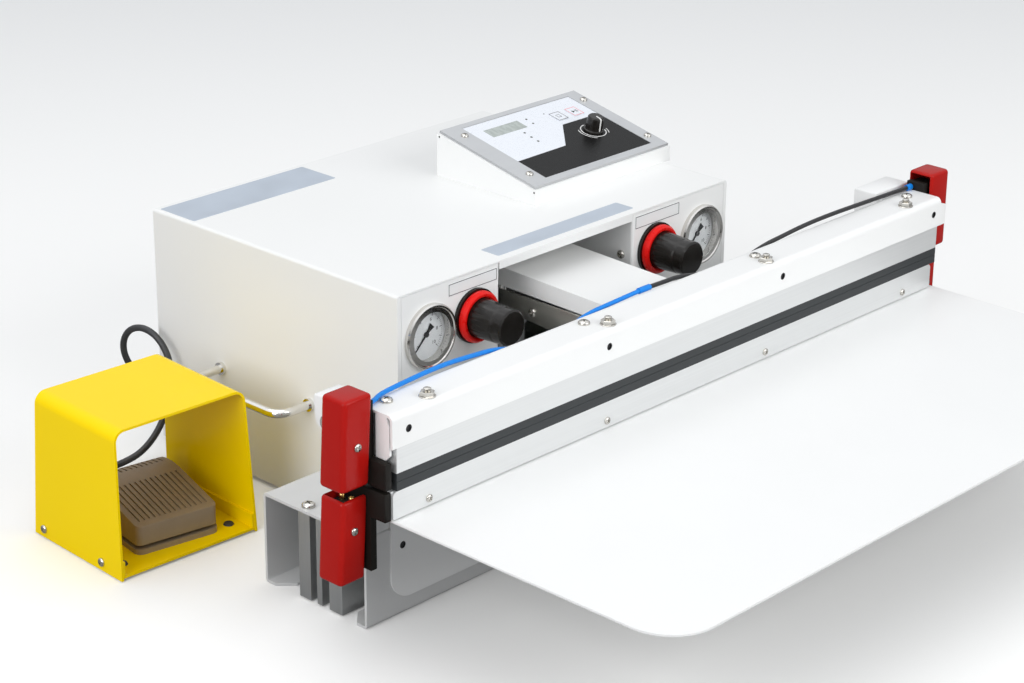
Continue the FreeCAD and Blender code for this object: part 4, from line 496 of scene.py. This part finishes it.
# A dull steel plate under the lift arm's left side, held by one screw. Only its side shows, below the
# arm's white sheet.
arm_steel = Finish("dull_steel", Metallic=0.9)
streak = arm_steel.cloud(30, 4, (1, 0.4, 6))
arm_steel.set(Base_Color=arm_steel.blend(streak, (0.30, 0.30, 0.27), (0.46, 0.45, 0.41)),
              Roughness=streak.between(0.3, 0.7, 0.28, 0.42))
arm_left = -44.2
arm_side = to_metres @ Matrix.Translation((arm_left, 0, 0)) @ Matrix(
    ((0, 0, -1, 0), (1, 0, 0, 0), (0, 1, 0, 0), (0, 0, 0, 1)))
arm_plate = slab([(14, 142), (112, 150), (112, 166.8), (14, 166.8)], 0, 2.0, arm_side)
piece("arm_plate", baked(arm_plate, [("BEVEL", {"width": 0.0005, "segments": 2, "limit_method": "ANGLE"})]),
      arm_steel, "upper_jaw")
set_places("arm_screw", cross_head, [((-46.2, 73.0, 156.0), (-1, 0, 0), 0.5, 3.8)], bright_screw,
           "upper_jaw")

# Two carry handles of bent round bar, chrome plated, with pressed wall flanges. The lift cylinder's
# rod has the same plating.
chrome = Finish("chrome_plate", Metallic=1.0)
haze = chrome.cloud(90, 4)
chrome.set(Base_Color=chrome.blend(haze, (0.74, 0.72, 0.68), (0.82, 0.81, 0.78)),
           Roughness=haze.between(0.35, 0.75, 0.06, 0.16))
chrome.grain(chrome.cloud(600, 2), 0.00003, 0.25)
chrome.onto("carry_handles", "cylinder_rod")

# The pressure gauges: spun steel bezel, white enamel dial, black pointer and flat glass. One sits in
# each front panel.
spun_steel = Finish("spun_bezel", Metallic=1.0)
rings = spun_steel.cloud(700, 2)
spun_steel.set(Base_Color=spun_steel.blend(rings, (0.62, 0.60, 0.57), (0.74, 0.72, 0.69)),
               Roughness=rings.between(0.3, 0.7, 0.10, 0.18))
spun_steel.grain(rings, 0.00003, 0.3)
spun_steel.onto("gauge_cases")

enamel = Finish("white_enamel")
speck = enamel.cloud(500, 3)
enamel.set(Base_Color=enamel.blend(speck, (0.78, 0.80, 0.81), (0.84, 0.85, 0.86)),
           Roughness=speck.between(0.3, 0.7, 0.4, 0.5))
enamel.onto("gauge_dials")

pointer_black = Finish("pointer_black", Roughness=0.35)
pointer_black.set(Base_Color=pointer_black.blend(pointer_black.cloud(800, 2), (0.01, 0.01, 0.011),
                                                 (0.025, 0.025, 0.027)))
pointer_black.onto("gauge_needle_left", "gauge_needle_right")

gauge_glass = Finish("clear_glass", Roughness=0.03, Transmission_Weight=1.0, IOR=1.12)
gauge_glass.set(Base_Color=gauge_glass.blend(gauge_glass.cloud(40, 2), (0.97, 0.98, 0.98), (1.0, 1.0, 1.0)))
gauge_glass.onto("gauge_glasses")

# The gauges' scales: a ring of ticks over three quarters of the dial, and plain figures from 0 to 10.
# Both are printed on the enamel in black.
dial_x, dial_z, dial_front = 165.6, 170.0, 76.8
tick_ring, figure_ring, tick_count = 18.6, 12.6, 50
tick = slab([(-0.5, -0.5), (0.5, -0.5), (0.5, 0.5), (-0.5, 0.5)], 0, 1)
ticks, figures = [], []
for side in (-1, 1):
    for k in range(tick_count + 1):
        angle = math.radians(225 - 270 * k / tick_count)
        long, wide = (3.0, 0.5) if k % 5 == 0 else (1.6, 0.25)
        reach = tick_ring - long / 2
        spot = (dial_x * side + reach * math.cos(angle), dial_front, dial_z + reach * math.sin(angle))
        ticks.append((spot, (0, -1, 0), angle - math.pi / 2, (wide, long, 0.06)))
        if k % 10 == 0:
            letters = bpy.data.curves.new("figure", "FONT")
            letters.body, letters.size, letters.extrude = str(k // 5), 4.2, 0.03
            letters.align_x = letters.align_y = "CENTER"
            letters.resolution_u = 3
            figure = plain_mesh(in_scene("figure", letters))
            figure.transform(to_metres @ Matrix.Translation(
                (dial_x * side + figure_ring * math.cos(angle), dial_front - 0.04,
                 dial_z + figure_ring * math.sin(angle))) @ stood_up)
            figures.append(figure)
set_places("gauge_ticks", tick, ticks, ink_and_hole_shade, "root")
piece("gauge_figures", joined(*figures), ink_and_hole_shade, "root")

# The panel regulators: black moulded body and ribbed knob, held by a bright red ring nut. The timer's
# knob, the cable's gland and the inlets at the back have the same black finish.
knob_black = Finish("black_moulding", Specular_IOR_Level=0.35)
wipe = knob_black.cloud(90, 2)
knob_black.set(Base_Color=knob_black.blend(wipe, (0.009, 0.008, 0.007), (0.014, 0.012, 0.010)),
               Roughness=wipe.between(0.3, 0.7, 0.15, 0.22))
knob_black.grain(knob_black.cloud(1500, 2), 0.00002, 0.2)
knob_black.onto("regulator_bodies", "regulator_knob_left", "regulator_knob_right", "control_knob",
                "power_inlet", "power_switch", "cable_gland", "air_fittings")

nut_red = Finish("red_moulding", Specular_IOR_Level=0.25)
flow = nut_red.cloud(180, 3)
nut_red.set(Base_Color=nut_red.blend(flow, (0.66, 0.004, 0.003), (0.78, 0.008, 0.005)),
            Roughness=flow.between(0.3, 0.7, 0.25, 0.38))
nut_red.grain(nut_red.cloud(1500, 2), 0.00005, 0.3)
nut_red.onto("regulator_nuts")

# The control box's sloped panel: a grey anodised plate, and on it a white printed film with two keys
# under it.
anodised = Finish("grey_anodised", Metallic=0.75)
brush = anodised.cloud(40, 4, (1, 18, 18))
anodised.set(Base_Color=anodised.blend(brush, (0.50, 0.51, 0.52), (0.60, 0.61, 0.62)),
             Roughness=brush.between(0.3, 0.7, 0.36, 0.5))
anodised.grain(brush, 0.00003, 0.3)
anodised.onto("control_bezel")

film = Finish("white_film")
film_grain = film.cloud(1200, 2)
film.set(Base_Color=film.blend(film_grain, (0.77, 0.80, 0.86), (0.81, 0.84, 0.89)),
         Roughness=film_grain.between(0.3, 0.7, 0.26, 0.36))
film.grain(film_grain, 0.00003, 0.3)
film.onto("control_membrane", "key_mode", "key_start")

# The panel's print: a black field and a white scale round the timer knob, a display window, frames
# on the keys and six small lamps.
knob_x, knob_slope = 130.0, 52.5


def arc(radius, wide, start, stop, steps=40):
    """The edge of a curved line round the timer knob."""
    angles = [math.radians(start + (stop - start) * k / steps) for k in range(steps + 1)]
    return [(knob_x + reach * math.cos(a), knob_slope + reach * math.sin(a))
            for reach, row in ((radius + wide / 2, angles), (radius - wide / 2, angles[::-1])) for a in row]


gloss_black = Finish("black_print", Specular_IOR_Level=0.12)
fleck = gloss_black.cloud(700, 3)
gloss_black.set(Base_Color=gloss_black.blend(fleck, (0.004, 0.004, 0.004), (0.010, 0.010, 0.010)),
                Roughness=fleck.between(0.3, 0.7, 0.26, 0.4))
piece("print_field", slab([(22.8, 9.7), (159.8, 9.7), (159.8, 74.0), (112.5, 74.0), (84.5, 44.0),
                           (22.8, 43.0)], 2.2, 2.28, on_panel), gloss_black, "root")
display = Finish("display_glass", Roughness=0.25)
segments = display.cloud(300, 2, (1, 0.4, 1))
display.set(Base_Color=display.blend(segments.between(0.4, 0.6), (0.36, 0.40, 0.38), (0.44, 0.48, 0.46)))
piece("display_window", slab(rounded(36.6, 86.0, 79.6, 99.6, 0.4), 2.2, 2.3, on_panel), display, "root")
print_white = Finish("white_print", Roughness=0.4)
print_white.set(Base_Color=print_white.blend(
    print_white.cloud(500, 2), (0.78, 0.78, 0.77), (0.86, 0.86, 0.85)))
scale_lines = ((11.6, 1.0, 88, 342), (14.2, 0.8, 150, 238), (14.2, 0.8, 318, 350))
piece("dial_scale", joined(*[slab(arc(*line), 2.28, 2.34, on_panel) for line in scale_lines]),
      print_white, "root")
lamps = [(panel_spot(x, slope, 2.2), panel_up, 0, (size, size, 1.0)) for x, slope, size in (
    (89.6, 97.4, 1.1), (89.5, 88.7, 1.1), (68.6, 79.1, 1.2), (68.1, 70.3, 1.2), (68.0, 61.9, 1.2),
    (112.4, 97.4, 0.7))]
set_places("panel_lamps", lathe([(0, 0), (1, 0), (1, 0.1), (0.8, 0.14), (0, 0.14)], 16), lamps, ink_and_hole_shade, "root")
key_print = (2.7, 2.76, on_panel)
piece("mode_frame", joined(frame_line(115.4, 80.8, 127.6, 94.4, 0.55, *key_print),
                           frame_line(119.4, 85.4, 123.8, 90.0, 0.4, *key_print)),
      ink_and_hole_shade, "mode_key")
pink = Finish("pink_print", Roughness=0.4)
pink.set(Base_Color=pink.blend(pink.cloud(500, 2), (0.80, 0.20, 0.24), (0.86, 0.28, 0.32)))
piece("start_frame", frame_line(136.1, 80.8, 148.3, 94.4, 0.6, *key_print), pink, "start_key")
start_signs = ([(139.4, 85.6), (143.0, 87.6), (139.4, 89.6)],
               [(143.8, 85.6), (144.4, 85.6), (144.4, 89.6), (143.8, 89.6)],
               [(145.2, 85.6), (145.8, 85.6), (145.8, 89.6), (145.2, 89.6)])
piece("start_mark", joined(*[slab(edge, *key_print) for edge in start_signs]), ink_and_hole_shade, "start_key")

# The timer knob's white line, inlaid in the black moulding. It runs over the top and down one side,
# and turns with the knob.
pointer = [(0.4, 13.9), (6.0, 13.9), (7.0, 13.0), (7.9, 2.5), (8.1, 2.5), (7.3, 13.1), (6.1, 14.12),
           (0.4, 14.12)]
aim = Vector((-0.15, -0.989, 0))
knob_side = Matrix((aim, (0, 0, 1), aim.cross((0, 0, 1)))).transposed().to_4x4()
knob_foot = Matrix.Translation((knob_x, knob_slope, 2.5))
piece("knob_pointer", slab(pointer, -0.7, 0.7, on_panel @ knob_foot @ knob_side), print_white,
      "timer_knob")

# Two small round holes in the control box's left side, near the sloped panel's front and rear ends.
# Their dark is painted shade: thin black discs on the side.
box_left = 31.05
set_places("box_corner_holes", lathe([(0, 0), (1, 0), (1, 0.1), (0, 0.1)], 14),
           [((box_left, y, z), (-1, 0, 0), 0, (0.9, 0.9, 1.0)) for y, z in ((144.8, 223.0), (257.6, 247.4))],
           ink_and_hole_shade, "root")

# The upper jaw's casing, of folded sheet, and a solid block behind each of its ends, in one white
# powder coat. The work tray, one folded sheet, has it too.
jaw_coat = Finish("jaw_powder_coat")
peel = jaw_coat.cloud(1300, 2)
jaw_coat.set(Base_Color=jaw_coat.blend(jaw_coat.cloud(9, 2), (0.85, 0.855, 0.85), (0.88, 0.885, 0.88)),
             Roughness=peel.between(0.3, 0.7, 0.33, 0.44))
jaw_coat.grain(peel, 0.00006, 0.35)
jaw_coat.onto("jaw_casing", "work_tray")
jaw_middle, block_end = 2.0, 347.0
along_x = Matrix(((0, 0, 1, 0), (1, 0, 0, 0), (0, 1, 0, 0), (0, 0, 0, 1)))
foot = [(-3.0 + 12.0 * math.cos(angle), 179.0 + 12.0 * math.sin(angle))
        for angle in [math.radians(180 + 180 * k / 12) for k in range(13)]]
lump_edge = foot + [(9.0, 195.0), (-15.0, 195.0)]
neck_edge = [(-17.4, 175.0), (-12.0, 175.0), (-12.0, 190.0), (-17.4, 190.0)]
neck_inset = 6.0
for side, word, length in ((-1, "left", 25.0), (1, "right", 48.0)):
    outer = jaw_middle + block_end * side
    ends = sorted((outer, outer - length * side))
    lump = baked(slab(lump_edge, *ends, to_metres @ along_x), [("BEVEL", {
        "width": 0.0012, "segments": 3, "limit_method": "ANGLE", "angle_limit": math.radians(50)})])
    seat = sorted((outer - neck_inset * side, outer - (length - neck_inset) * side))
    neck = slab(neck_edge, *seat, to_metres @ along_x)
    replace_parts(piece(f"end_block_{word}", joined(lump, neck), jaw_coat, "upper_jaw"),
                "jaw_end_blocks")

# The bar of each jaw and the lower jaw's front plate: aluminium with a drawn mill finish. The nozzle's
# block and the lift cylinder look the same.
mill_bar = Finish("mill_aluminium", Metallic=0.55)
drawn = mill_bar.cloud(30, 5, (0.15, 30, 30))
mill_bar.set(Base_Color=mill_bar.blend(drawn, (0.70, 0.71, 0.71), (0.80, 0.81, 0.81)),
             Roughness=drawn.between(0.3, 0.7, 0.34, 0.5))
mill_bar.grain(drawn, 0.00004, 0.4)
mill_bar.onto("upper_jaw_bar", "lower_jaw_bar", "lower_jaw_plate", "nozzle_block", "lift_cylinder")

# The sealing strip under the upper jaw and the rubber that it presses on: black silicone, a little
# uneven from use.
seal_rubber = Finish("silicone_strip", Specular_IOR_Level=0.3)
smear = seal_rubber.cloud(25, 5, (0.3, 12, 12))
seal_rubber.set(Base_Color=seal_rubber.blend(smear, (0.022, 0.024, 0.026), (0.050, 0.055, 0.058)),
                Roughness=smear.between(0.3, 0.7, 0.42, 0.6))
seal_rubber.grain(seal_rubber.cloud(500, 4), 0.0001, 0.4)
seal_rubber.onto("upper_seal_strip", "lower_seal_rubber")

# The flat nozzle between the jaws, the arm's shaft and the foot pedal's pin: stainless steel with a
# dull polish.
stainless = Finish("stainless", Metallic=1.0)
polish = stainless.cloud(50, 4, (1, 12, 1))
stainless.set(Base_Color=stainless.blend(polish, (0.48, 0.48, 0.47), (0.60, 0.60, 0.59)),
              Roughness=polish.between(0.3, 0.7, 0.22, 0.38))
stainless.onto("nozzle", "pivot_shaft", "pedal_pin")

# The red terminal caps: thin mouldings with round edges, open towards the jaw and at one end. Those
# on the left lean a little, as in the photo.
cap_red = Finish("red_cap", Specular_IOR_Level=0.15)
mottle = cap_red.cloud(60, 2)
cap_red.set(Base_Color=cap_red.blend(mottle, (0.40, 0.007, 0.005), (0.42, 0.009, 0.006)),
            Roughness=mottle.between(0.3, 0.7, 0.2, 0.26))
cap_red.grain(cap_red.cloud(900, 2), 0.00003, 0.25)


def moulded_cap(name, side, wide, y, z, open_low, body):
    """One cap: a rounded block with its hollow cut out, and its edges rounded."""
    inner = jaw_middle + 341.0 * side
    outer = inner + wide * side
    x = sorted((inner, outer))
    wall, corner = 2.2, 4.0
    block = slab(rounded(x[0], y[0], x[1], y[1], corner, 6), z[0], z[1])
    made = bmesh.new()
    made.from_mesh(block)
    for vertex in made.verts:
        if abs(vertex.co.x - inner) < corner + 0.005:
            vertex.co.x = inner
            vertex.co.y = y[0] if vertex.co.y < (y[0] + y[1]) / 2 else y[1]
    bmesh.ops.remove_doubles(made, verts=made.verts, dist=0.001)
    made.to_mesh(block)
    made.free()
    hollow_z = (z[0] - 1, z[1] - wall) if open_low else (z[0] + wall, z[1] + 1)
    hollow_x = sorted((inner - side, outer - wall * side))
    core = in_scene("core", slab(
        [(hollow_x[0], y[0] + wall), (hollow_x[1], y[0] + wall), (hollow_x[1], y[1] - wall),
         (hollow_x[0], y[1] - wall)], *hollow_z))
    shell = baked(block, [
        ("BEVEL", {"width": 3.2, "segments": 4, "limit_method": "ANGLE", "angle_limit": math.radians(50)}),
        ("BOOLEAN", {"object": core, "operation": "DIFFERENCE"})])
    bpy.data.objects.remove(core)
    tilt = 0.06 if side < 0 else 0.0
    lean_in = Matrix(((1, 0, tilt, -tilt * (z[0] + z[1]) / 2), (0, 1, 0, 0), (0, 0, 1, 0), (0, 0, 0, 1)))
    shell.transform(to_metres @ lean_in)
    return piece(name, shell, cap_red, body, 30)


for side, word in ((-1, "left"), (1, "right")):
    upper = moulded_cap(f"upper_cap_{word}", side, 27.0, (-44.0, -19.0), (139.0, 209.0), True, "upper_jaw")
    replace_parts(upper, "upper_caps")
    lower = moulded_cap(f"lower_cap_{word}", side, 24.6, (-38.0, -13.0), (62.6, 128.6), False, "root")
    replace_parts(lower, "lower_caps")

# The black insulating plates between the jaws' ends and the caps: cut from phenolic sheet, with a
# lump that reaches into the cap. Those on the left have a tab to the front.
phenolic = Finish("black_phenolic", Specular_IOR_Level=0.18)
fibre = phenolic.cloud(150, 4, (1, 8, 1))
phenolic.set(Base_Color=phenolic.blend(fibre, (0.005, 0.004, 0.003), (0.014, 0.012, 0.010)),
             Roughness=fibre.between(0.3, 0.7, 0.42, 0.6))
phenolic.grain(fibre, 0.00008, 0.4)
for node, body, left_edge, right_edge, lump_y, lump_z in (
        ("upper_insulators", "upper_jaw",
         [(-58.2, 137.3), (-21.8, 137.3), (-21.8, 201.0), (-40.0, 201.0), (-40.0, 157.7), (-58.2, 157.7)],
         [(-40.0, 137.3), (-21.8, 137.3), (-21.8, 201.0), (-40.0, 201.0)], (-37.0, -22.8), (170.0, 200.0)),
        ("lower_insulators", "root",
         [(-57.2, 112.0), (-42.0, 112.0), (-42.0, 68.6), (-15.8, 68.6), (-15.8, 134.3), (-57.2, 134.3)],
         [(-38.0, 68.6), (-15.8, 68.6), (-15.8, 134.3), (-38.0, 134.3)], (-35.5, -15.8), (91.6, 122.6))):
    for side, word, edge in ((-1, "left", left_edge), (1, "right", right_edge)):
        near, far, tip = (jaw_middle + reach * side for reach in (335.0, 341.0, 355.0))
        sheet = slab(edge, *sorted((near, far)), to_metres @ along_x)
        lump = slab([(lump_y[0], lump_z[0]), (lump_y[1] - 0.1, lump_z[0]), (lump_y[1] - 0.1, lump_z[1]),
                     (lump_y[0], lump_z[1])], *sorted((far, tip)), to_metres @ along_x)
        shaped = baked(joined(sheet, lump), [
            ("BEVEL", {"width": 0.0004, "segments": 2, "limit_method": "ANGLE"})])
        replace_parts(piece(node[:-1] + "_" + word, shaped, phenolic, body), node)


# The heater leads: blue from the left cap, black from the right one. They lie on the casing's rear
# edge, drop behind it twice, and meet in a shrunk blue sleeve over the lift arm.
def lead(name, spots, radius, finish):
    """A lead or its sleeve, as a round tube."""
    mesh = plain_mesh(round_line(name, spots, radius, 5, 3))
    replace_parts(piece(name, mesh, finish, "upper_jaw", 60), "jaw_leads")


lead_blue = Finish("blue_silicone", Roughness=0.35, Specular_IOR_Level=0.3)
lead_blue.set(Base_Color=lead_blue.blend(lead_blue.cloud(400, 3), (0.004, 0.19, 0.66), (0.008, 0.25, 0.78)))
lead_black = Finish("black_silicone", Roughness=0.35, Specular_IOR_Level=0.4)
lead_black.set(Base_Color=lead_black.blend(
    lead_black.cloud(400, 3), (0.012, 0.012, 0.013), (0.03, 0.03, 0.032)))
lead("blue_lead", [(-332.5, -34.4, 196.0), (-324, -32.6, 196.0), (-316, -28.4, 196.2), (-303, -26.6, 196.4),
                   (-283, -24.8, 196.6), (-263, -23.4, 196.8), (-240, -20.6, 195.6), (-210, -19.6, 193.2),
                   (-186, -19.2, 191.0), (-160, -18.6, 183.0), (-135, -18.4, 181.0), (-105, -18.6, 184.0),
                   (-84, -19.3, 190.8), (-55, -19.6, 192.0), (-24, -20.4, 193.8)], 1.9, lead_blue)
lead("lead_sleeve", [(-24.5, -20.4, 193.8), (-18, -20.4, 193.9), (-11, -20.4, 193.8)], 2.6, lead_blue)
lead("black_lead", [(-11.5, -20.4, 193.8), (8, -20.2, 193.2), (26, -19.6, 192.6), (52, -19.0, 187.0),
                    (80, -18.6, 183.0), (112, -18.8, 185.0), (136.8, -19.6, 191.0), (158, -20.6, 193.0),
                    (185.7, -22.4, 196.4), (221, -24.5, 198.2), (264, -24.5, 197.2), (308, -25.2, 196.4),
                    (331, -26.0, 196.2)], 1.9, lead_black)
lead("cap_sleeve", [(330.5, -26.0, 196.2), (334, -26.0, 196.2), (336.9, -26.0, 196.2)], 2.8, lead_blue)


# The upper jaw's fasteners: four flanged nuts on studs, dome heads, cap screws and a bright disc on
# each end block. The lower jaw's: plate, cap and base screws, and brass terminals in the red caps.
def along_jaw(share):
    """The place of a share of the jaw's length, from its left end."""
    return jaw_middle - 335.0 + 670.0 * share


thread = [(0, 4.0), (2.95, 4.0)]
for k in range(5):
    thread += [(2.95, 4.1 + 0.5 * k), (2.55, 4.35 + 0.5 * k)]
flanged_nut = joined(lathe([(0, 0), (6.5, 0), (6.5, 0.5), (6.1, 0.8), (0, 0.8)], 28),
                     lathe([(0, 0.8), (5.77, 0.8), (5.77, 3.5), (5.1, 4.0), (0, 4.0)], 6),
                     lathe(thread + [(2.2, 6.5), (0, 6.5)], 18))
nuts = [((along_jaw(share), -49.5, 193.5), (0, 0, 1), share * 9, 1.0)
        for share in (0.0661, 0.3572, 0.6482, 0.9393)]
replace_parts(set_places("jaw_nuts", flanged_nut, nuts, bright_screw, "upper_jaw"),
            "jaw_fasteners")
upper_heads = [((along_jaw(share), -36.0, 193.5), (0, 0, 1), share * 7, 4.8)
               for share in (0.0252, 0.3384, 0.6522, 0.9704)]
upper_heads += [((jaw_middle + 354.5 * side, -44.0, 171.6), (0, -1, 0), 0.4 * side, 3.2) for side in (-1, 1)]
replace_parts(set_places("jaw_heads", cross_head, upper_heads, bright_screw, "upper_jaw"),
            "jaw_fasteners")
disc = lathe([(0, 0), (6, 0), (6, 1.6), (5.2, 2.3), (2.6, 2.5), (2.2, 1.7), (0, 1.5)], 32)
discs = [((jaw_middle + block_end * side, -4.7, 176.0), (side, 0, 0), 0, 1.0) for side in (-1, 1)]
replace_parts(set_places("end_discs", disc, discs, chrome, "upper_jaw"), "jaw_fasteners")
lower_heads = [((along_jaw(share), -59.2, 118.8), (0, -1, 0), share * 11, 3.0)
               for share in (0.0537, 0.3427, 0.6357, 0.9236)]
lower_heads += [((jaw_middle + 353.3 * side, -38.0, 103.6), (0, -1, 0), 0.6 * side, 3.2) for side in (-1, 1)]
lower_heads += [((308.0 * side, 59.0, 76.0), (0, 0, 1), 0.3 * side, 5.5) for side in (-1, 1)]
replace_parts(set_places("lower_heads", cross_head, lower_heads, bright_screw, "root"),
            "lower_fasteners")
brass = Finish("brass", Metallic=1.0)
brass.set(Base_Color=brass.blend(brass.cloud(400, 3), (0.62, 0.42, 0.14), (0.78, 0.56, 0.22)),
          Roughness=brass.cloud(600, 2).between(0.3, 0.7, 0.2, 0.34))
terminal = lathe([(0, 0), (2.4, 0), (2.4, 3.4), (2.0, 4.0), (1.1, 4.0), (0.9, 3.2), (0, 3.2)], 18)
terminals = [((jaw_middle + 348.3 * side, -30.5 + 10 * k, 122.6), (0, 0, 1), k + side, 1.0)
             for side in (-1, 1) for k in (0, 1)]
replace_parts(set_places("terminals", terminal, terminals, brass, "root"), "lower_fasteners")

# Threaded holes in the casing's front wall and in the tray's flange. They show as small black rounds,
# each with a thin rim; the black is painted shade of the holes.
casing_well = lathe([(0, 0.0), (2.95, 0.0), (2.95, 1.7), (2.6, 1.7), (2.5, 0.4), (0, 0.2)], 20)
casing_wells = [((along_jaw(share), -57.2, 180.0), (0, -1, 0), 0, 1.0)
                for share in (0.0245, 0.3446, 0.6648, 0.9849)]
set_places("casing_wells", casing_well, casing_wells, ink_and_hole_shade, "upper_jaw")
flange_well = lathe([(0, 0), (2.95, 0), (2.95, 1.2), (2.6, 1.2), (2.5, 0.4), (0, 0.2)], 20)
flange_wells = [((279.0 * side, -11.5, 58.5), (0, -1, 0), 0, 1.0) for side in (-1, 1)]
set_places("flange_wells", flange_well, flange_wells, ink_and_hole_shade, "root")

# The base: a folded steel channel with inward lips, coated light grey. It stands under the lower jaw
# and is open at both ends.
grey_coat = Finish("grey_coated_steel", Metallic=0.1)
silk = grey_coat.cloud(14, 4, (0.4, 4, 4))
grey_coat.set(Base_Color=grey_coat.blend(silk, (0.64, 0.645, 0.645), (0.70, 0.705, 0.70)),
              Roughness=silk.between(0.3, 0.7, 0.34, 0.46))
grey_coat.grain(grey_coat.cloud(1300, 2), 0.00006, 0.35)
grey_coat.onto("base_channel")

# The posts inside the base's ends: lengths of slotted aluminium extrusion, stood upright, with their
# grooves showing.
extrusion = Finish("extruded_aluminium", Metallic=0.9)
pull = extrusion.cloud(30, 5, (30, 30, 0.2))
extrusion.set(Base_Color=extrusion.blend(pull, (0.46, 0.47, 0.47), (0.58, 0.59, 0.59)),
              Roughness=pull.between(0.3, 0.7, 0.3, 0.46))
extrusion.grain(pull, 0.00005, 0.4)
extrusion.onto("base_posts")

# The foot guard: bent sheet in gloss yellow, over a base plate with turned-up flanges. Two screws
# hold it on each side.
yellow_gloss = Finish("yellow_gloss", Specular_IOR_Level=0.14)
tone = yellow_gloss.cloud(10, 2)
yellow_gloss.set(Base_Color=yellow_gloss.blend(tone, (0.97, 0.68, 0.0), (1.0, 0.72, 0.0)),
                 Roughness=yellow_gloss.cloud(60, 2).between(0.3, 0.7, 0.13, 0.2))
yellow_gloss.grain(yellow_gloss.cloud(260, 1), 0.00002, 0.2)
yellow_gloss.onto("guard_shell", "guard_base")

lean, swing = 3.8 / 123.5, math.radians(-3.1)
guard_x, guard_y, guard_half = -325.5, 235.0, 66.3
guard_heads = []
for side in (-1, 1):
    for y in (-33.0, 46.0):
        x = (guard_half - lean * 4) * side
        guard_heads.append(((guard_x + x * math.cos(swing) - y * math.sin(swing),
                             guard_y + x * math.sin(swing) + y * math.cos(swing), 8.0),
                            (side * math.cos(swing), side * math.sin(swing), 0), 0.4 + y, 3.6))
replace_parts(set_places("guard_heads", cross_head, guard_heads, bright_screw, "root"),
            "guard_screws")

# The foot switch: a brown moulded base and pedal with a fine spark texture. The pedal is a thin cover
# with round corners, two rows of grooves and a pin through its sides.
pedal_brown = Finish("brown_moulding")
spark = pedal_brown.cloud(1600, 3)
pedal_brown.set(Base_Color=pedal_brown.blend(
    pedal_brown.cloud(60, 3), (0.250, 0.188, 0.118), (0.300, 0.228, 0.150)),
    Roughness=spark.between(0.3, 0.7, 0.42, 0.6))
pedal_brown.grain(spark, 0.0001, 0.5)
pedal_brown.onto("switch_base")
half_wide, wall, pin_spot = 36.5, 3.0, (0, 88, 13.5)
crest = [(99, 7.5), (99, 24), (97.6, 27.4), (93.5, 31.2), (88, 33.8), (80, 35.4), (70, 36.0), (60, 35.0),
         (1, 24.0), (1, 7.5)]
under = [(96, 6.0), (96, 22), (86, 30.5), (70, 32.5), (4, 20.5), (4, 6.0)]
plan = slab(rounded(-half_wide, 1, half_wide, 99, 5.0, 6), 7.5, 40)
cutters = [slab(under[::-1], wall - half_wide, half_wide - wall, along_x),
           slab(rounded(-6, 94, 6, 101, 0.5, 1), 6.5, 19.5)]
pin_bore = lathe([(0, -38), (2.05, -38), (2.05, 38), (0, 38)], 16,
                 Matrix.Translation(pin_spot) @ Matrix.Rotation(math.radians(90), 4, "Y"))
pitch, groove_half, groove_depth, slope = 4.7, 0.8, 1.2, 11.0 / 59.0
for k in range(14):
    x = pitch * (k - 6.5)
    for near, far, top, climb in ((8.0, 57.0, 24.0 + 7.0 * slope, slope), (77.0, 90.0, 35.6, -0.17)):
        low_near, low_far = top - groove_depth, top + climb * (far - near) - groove_depth
        cutters.append(slab([(near, low_near), (near, 42), (far, 42), (far, low_far)],
                            x - groove_half, x + groove_half, along_x))
tools = [in_scene("tool", mesh) for mesh in (plan, joined(*cutters), pin_bore)]
pedal = baked(slab(crest[::-1], -half_wide, half_wide, along_x), [
    ("BOOLEAN", {"object": tools[0], "operation": "INTERSECT"}),
    ("BEVEL", {"width": 1.6, "segments": 3, "limit_method": "ANGLE", "angle_limit": math.radians(40)}),
    ("BOOLEAN", {"object": tools[1], "operation": "DIFFERENCE", "use_self": True}),
    ("BOOLEAN", {"object": tools[2], "operation": "DIFFERENCE"})])
for tool in tools:
    bpy.data.objects.remove(tool)
switch_place = Matrix.Translation((-0.326, 0.193, 0.004)) @ Matrix.Rotation(math.radians(-9.5), 4, "Z")
pedal.transform(switch_place @ to_metres)
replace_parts(piece("pedal_cover", pedal, pedal_brown, "pedal", 30), "switch_pedal")
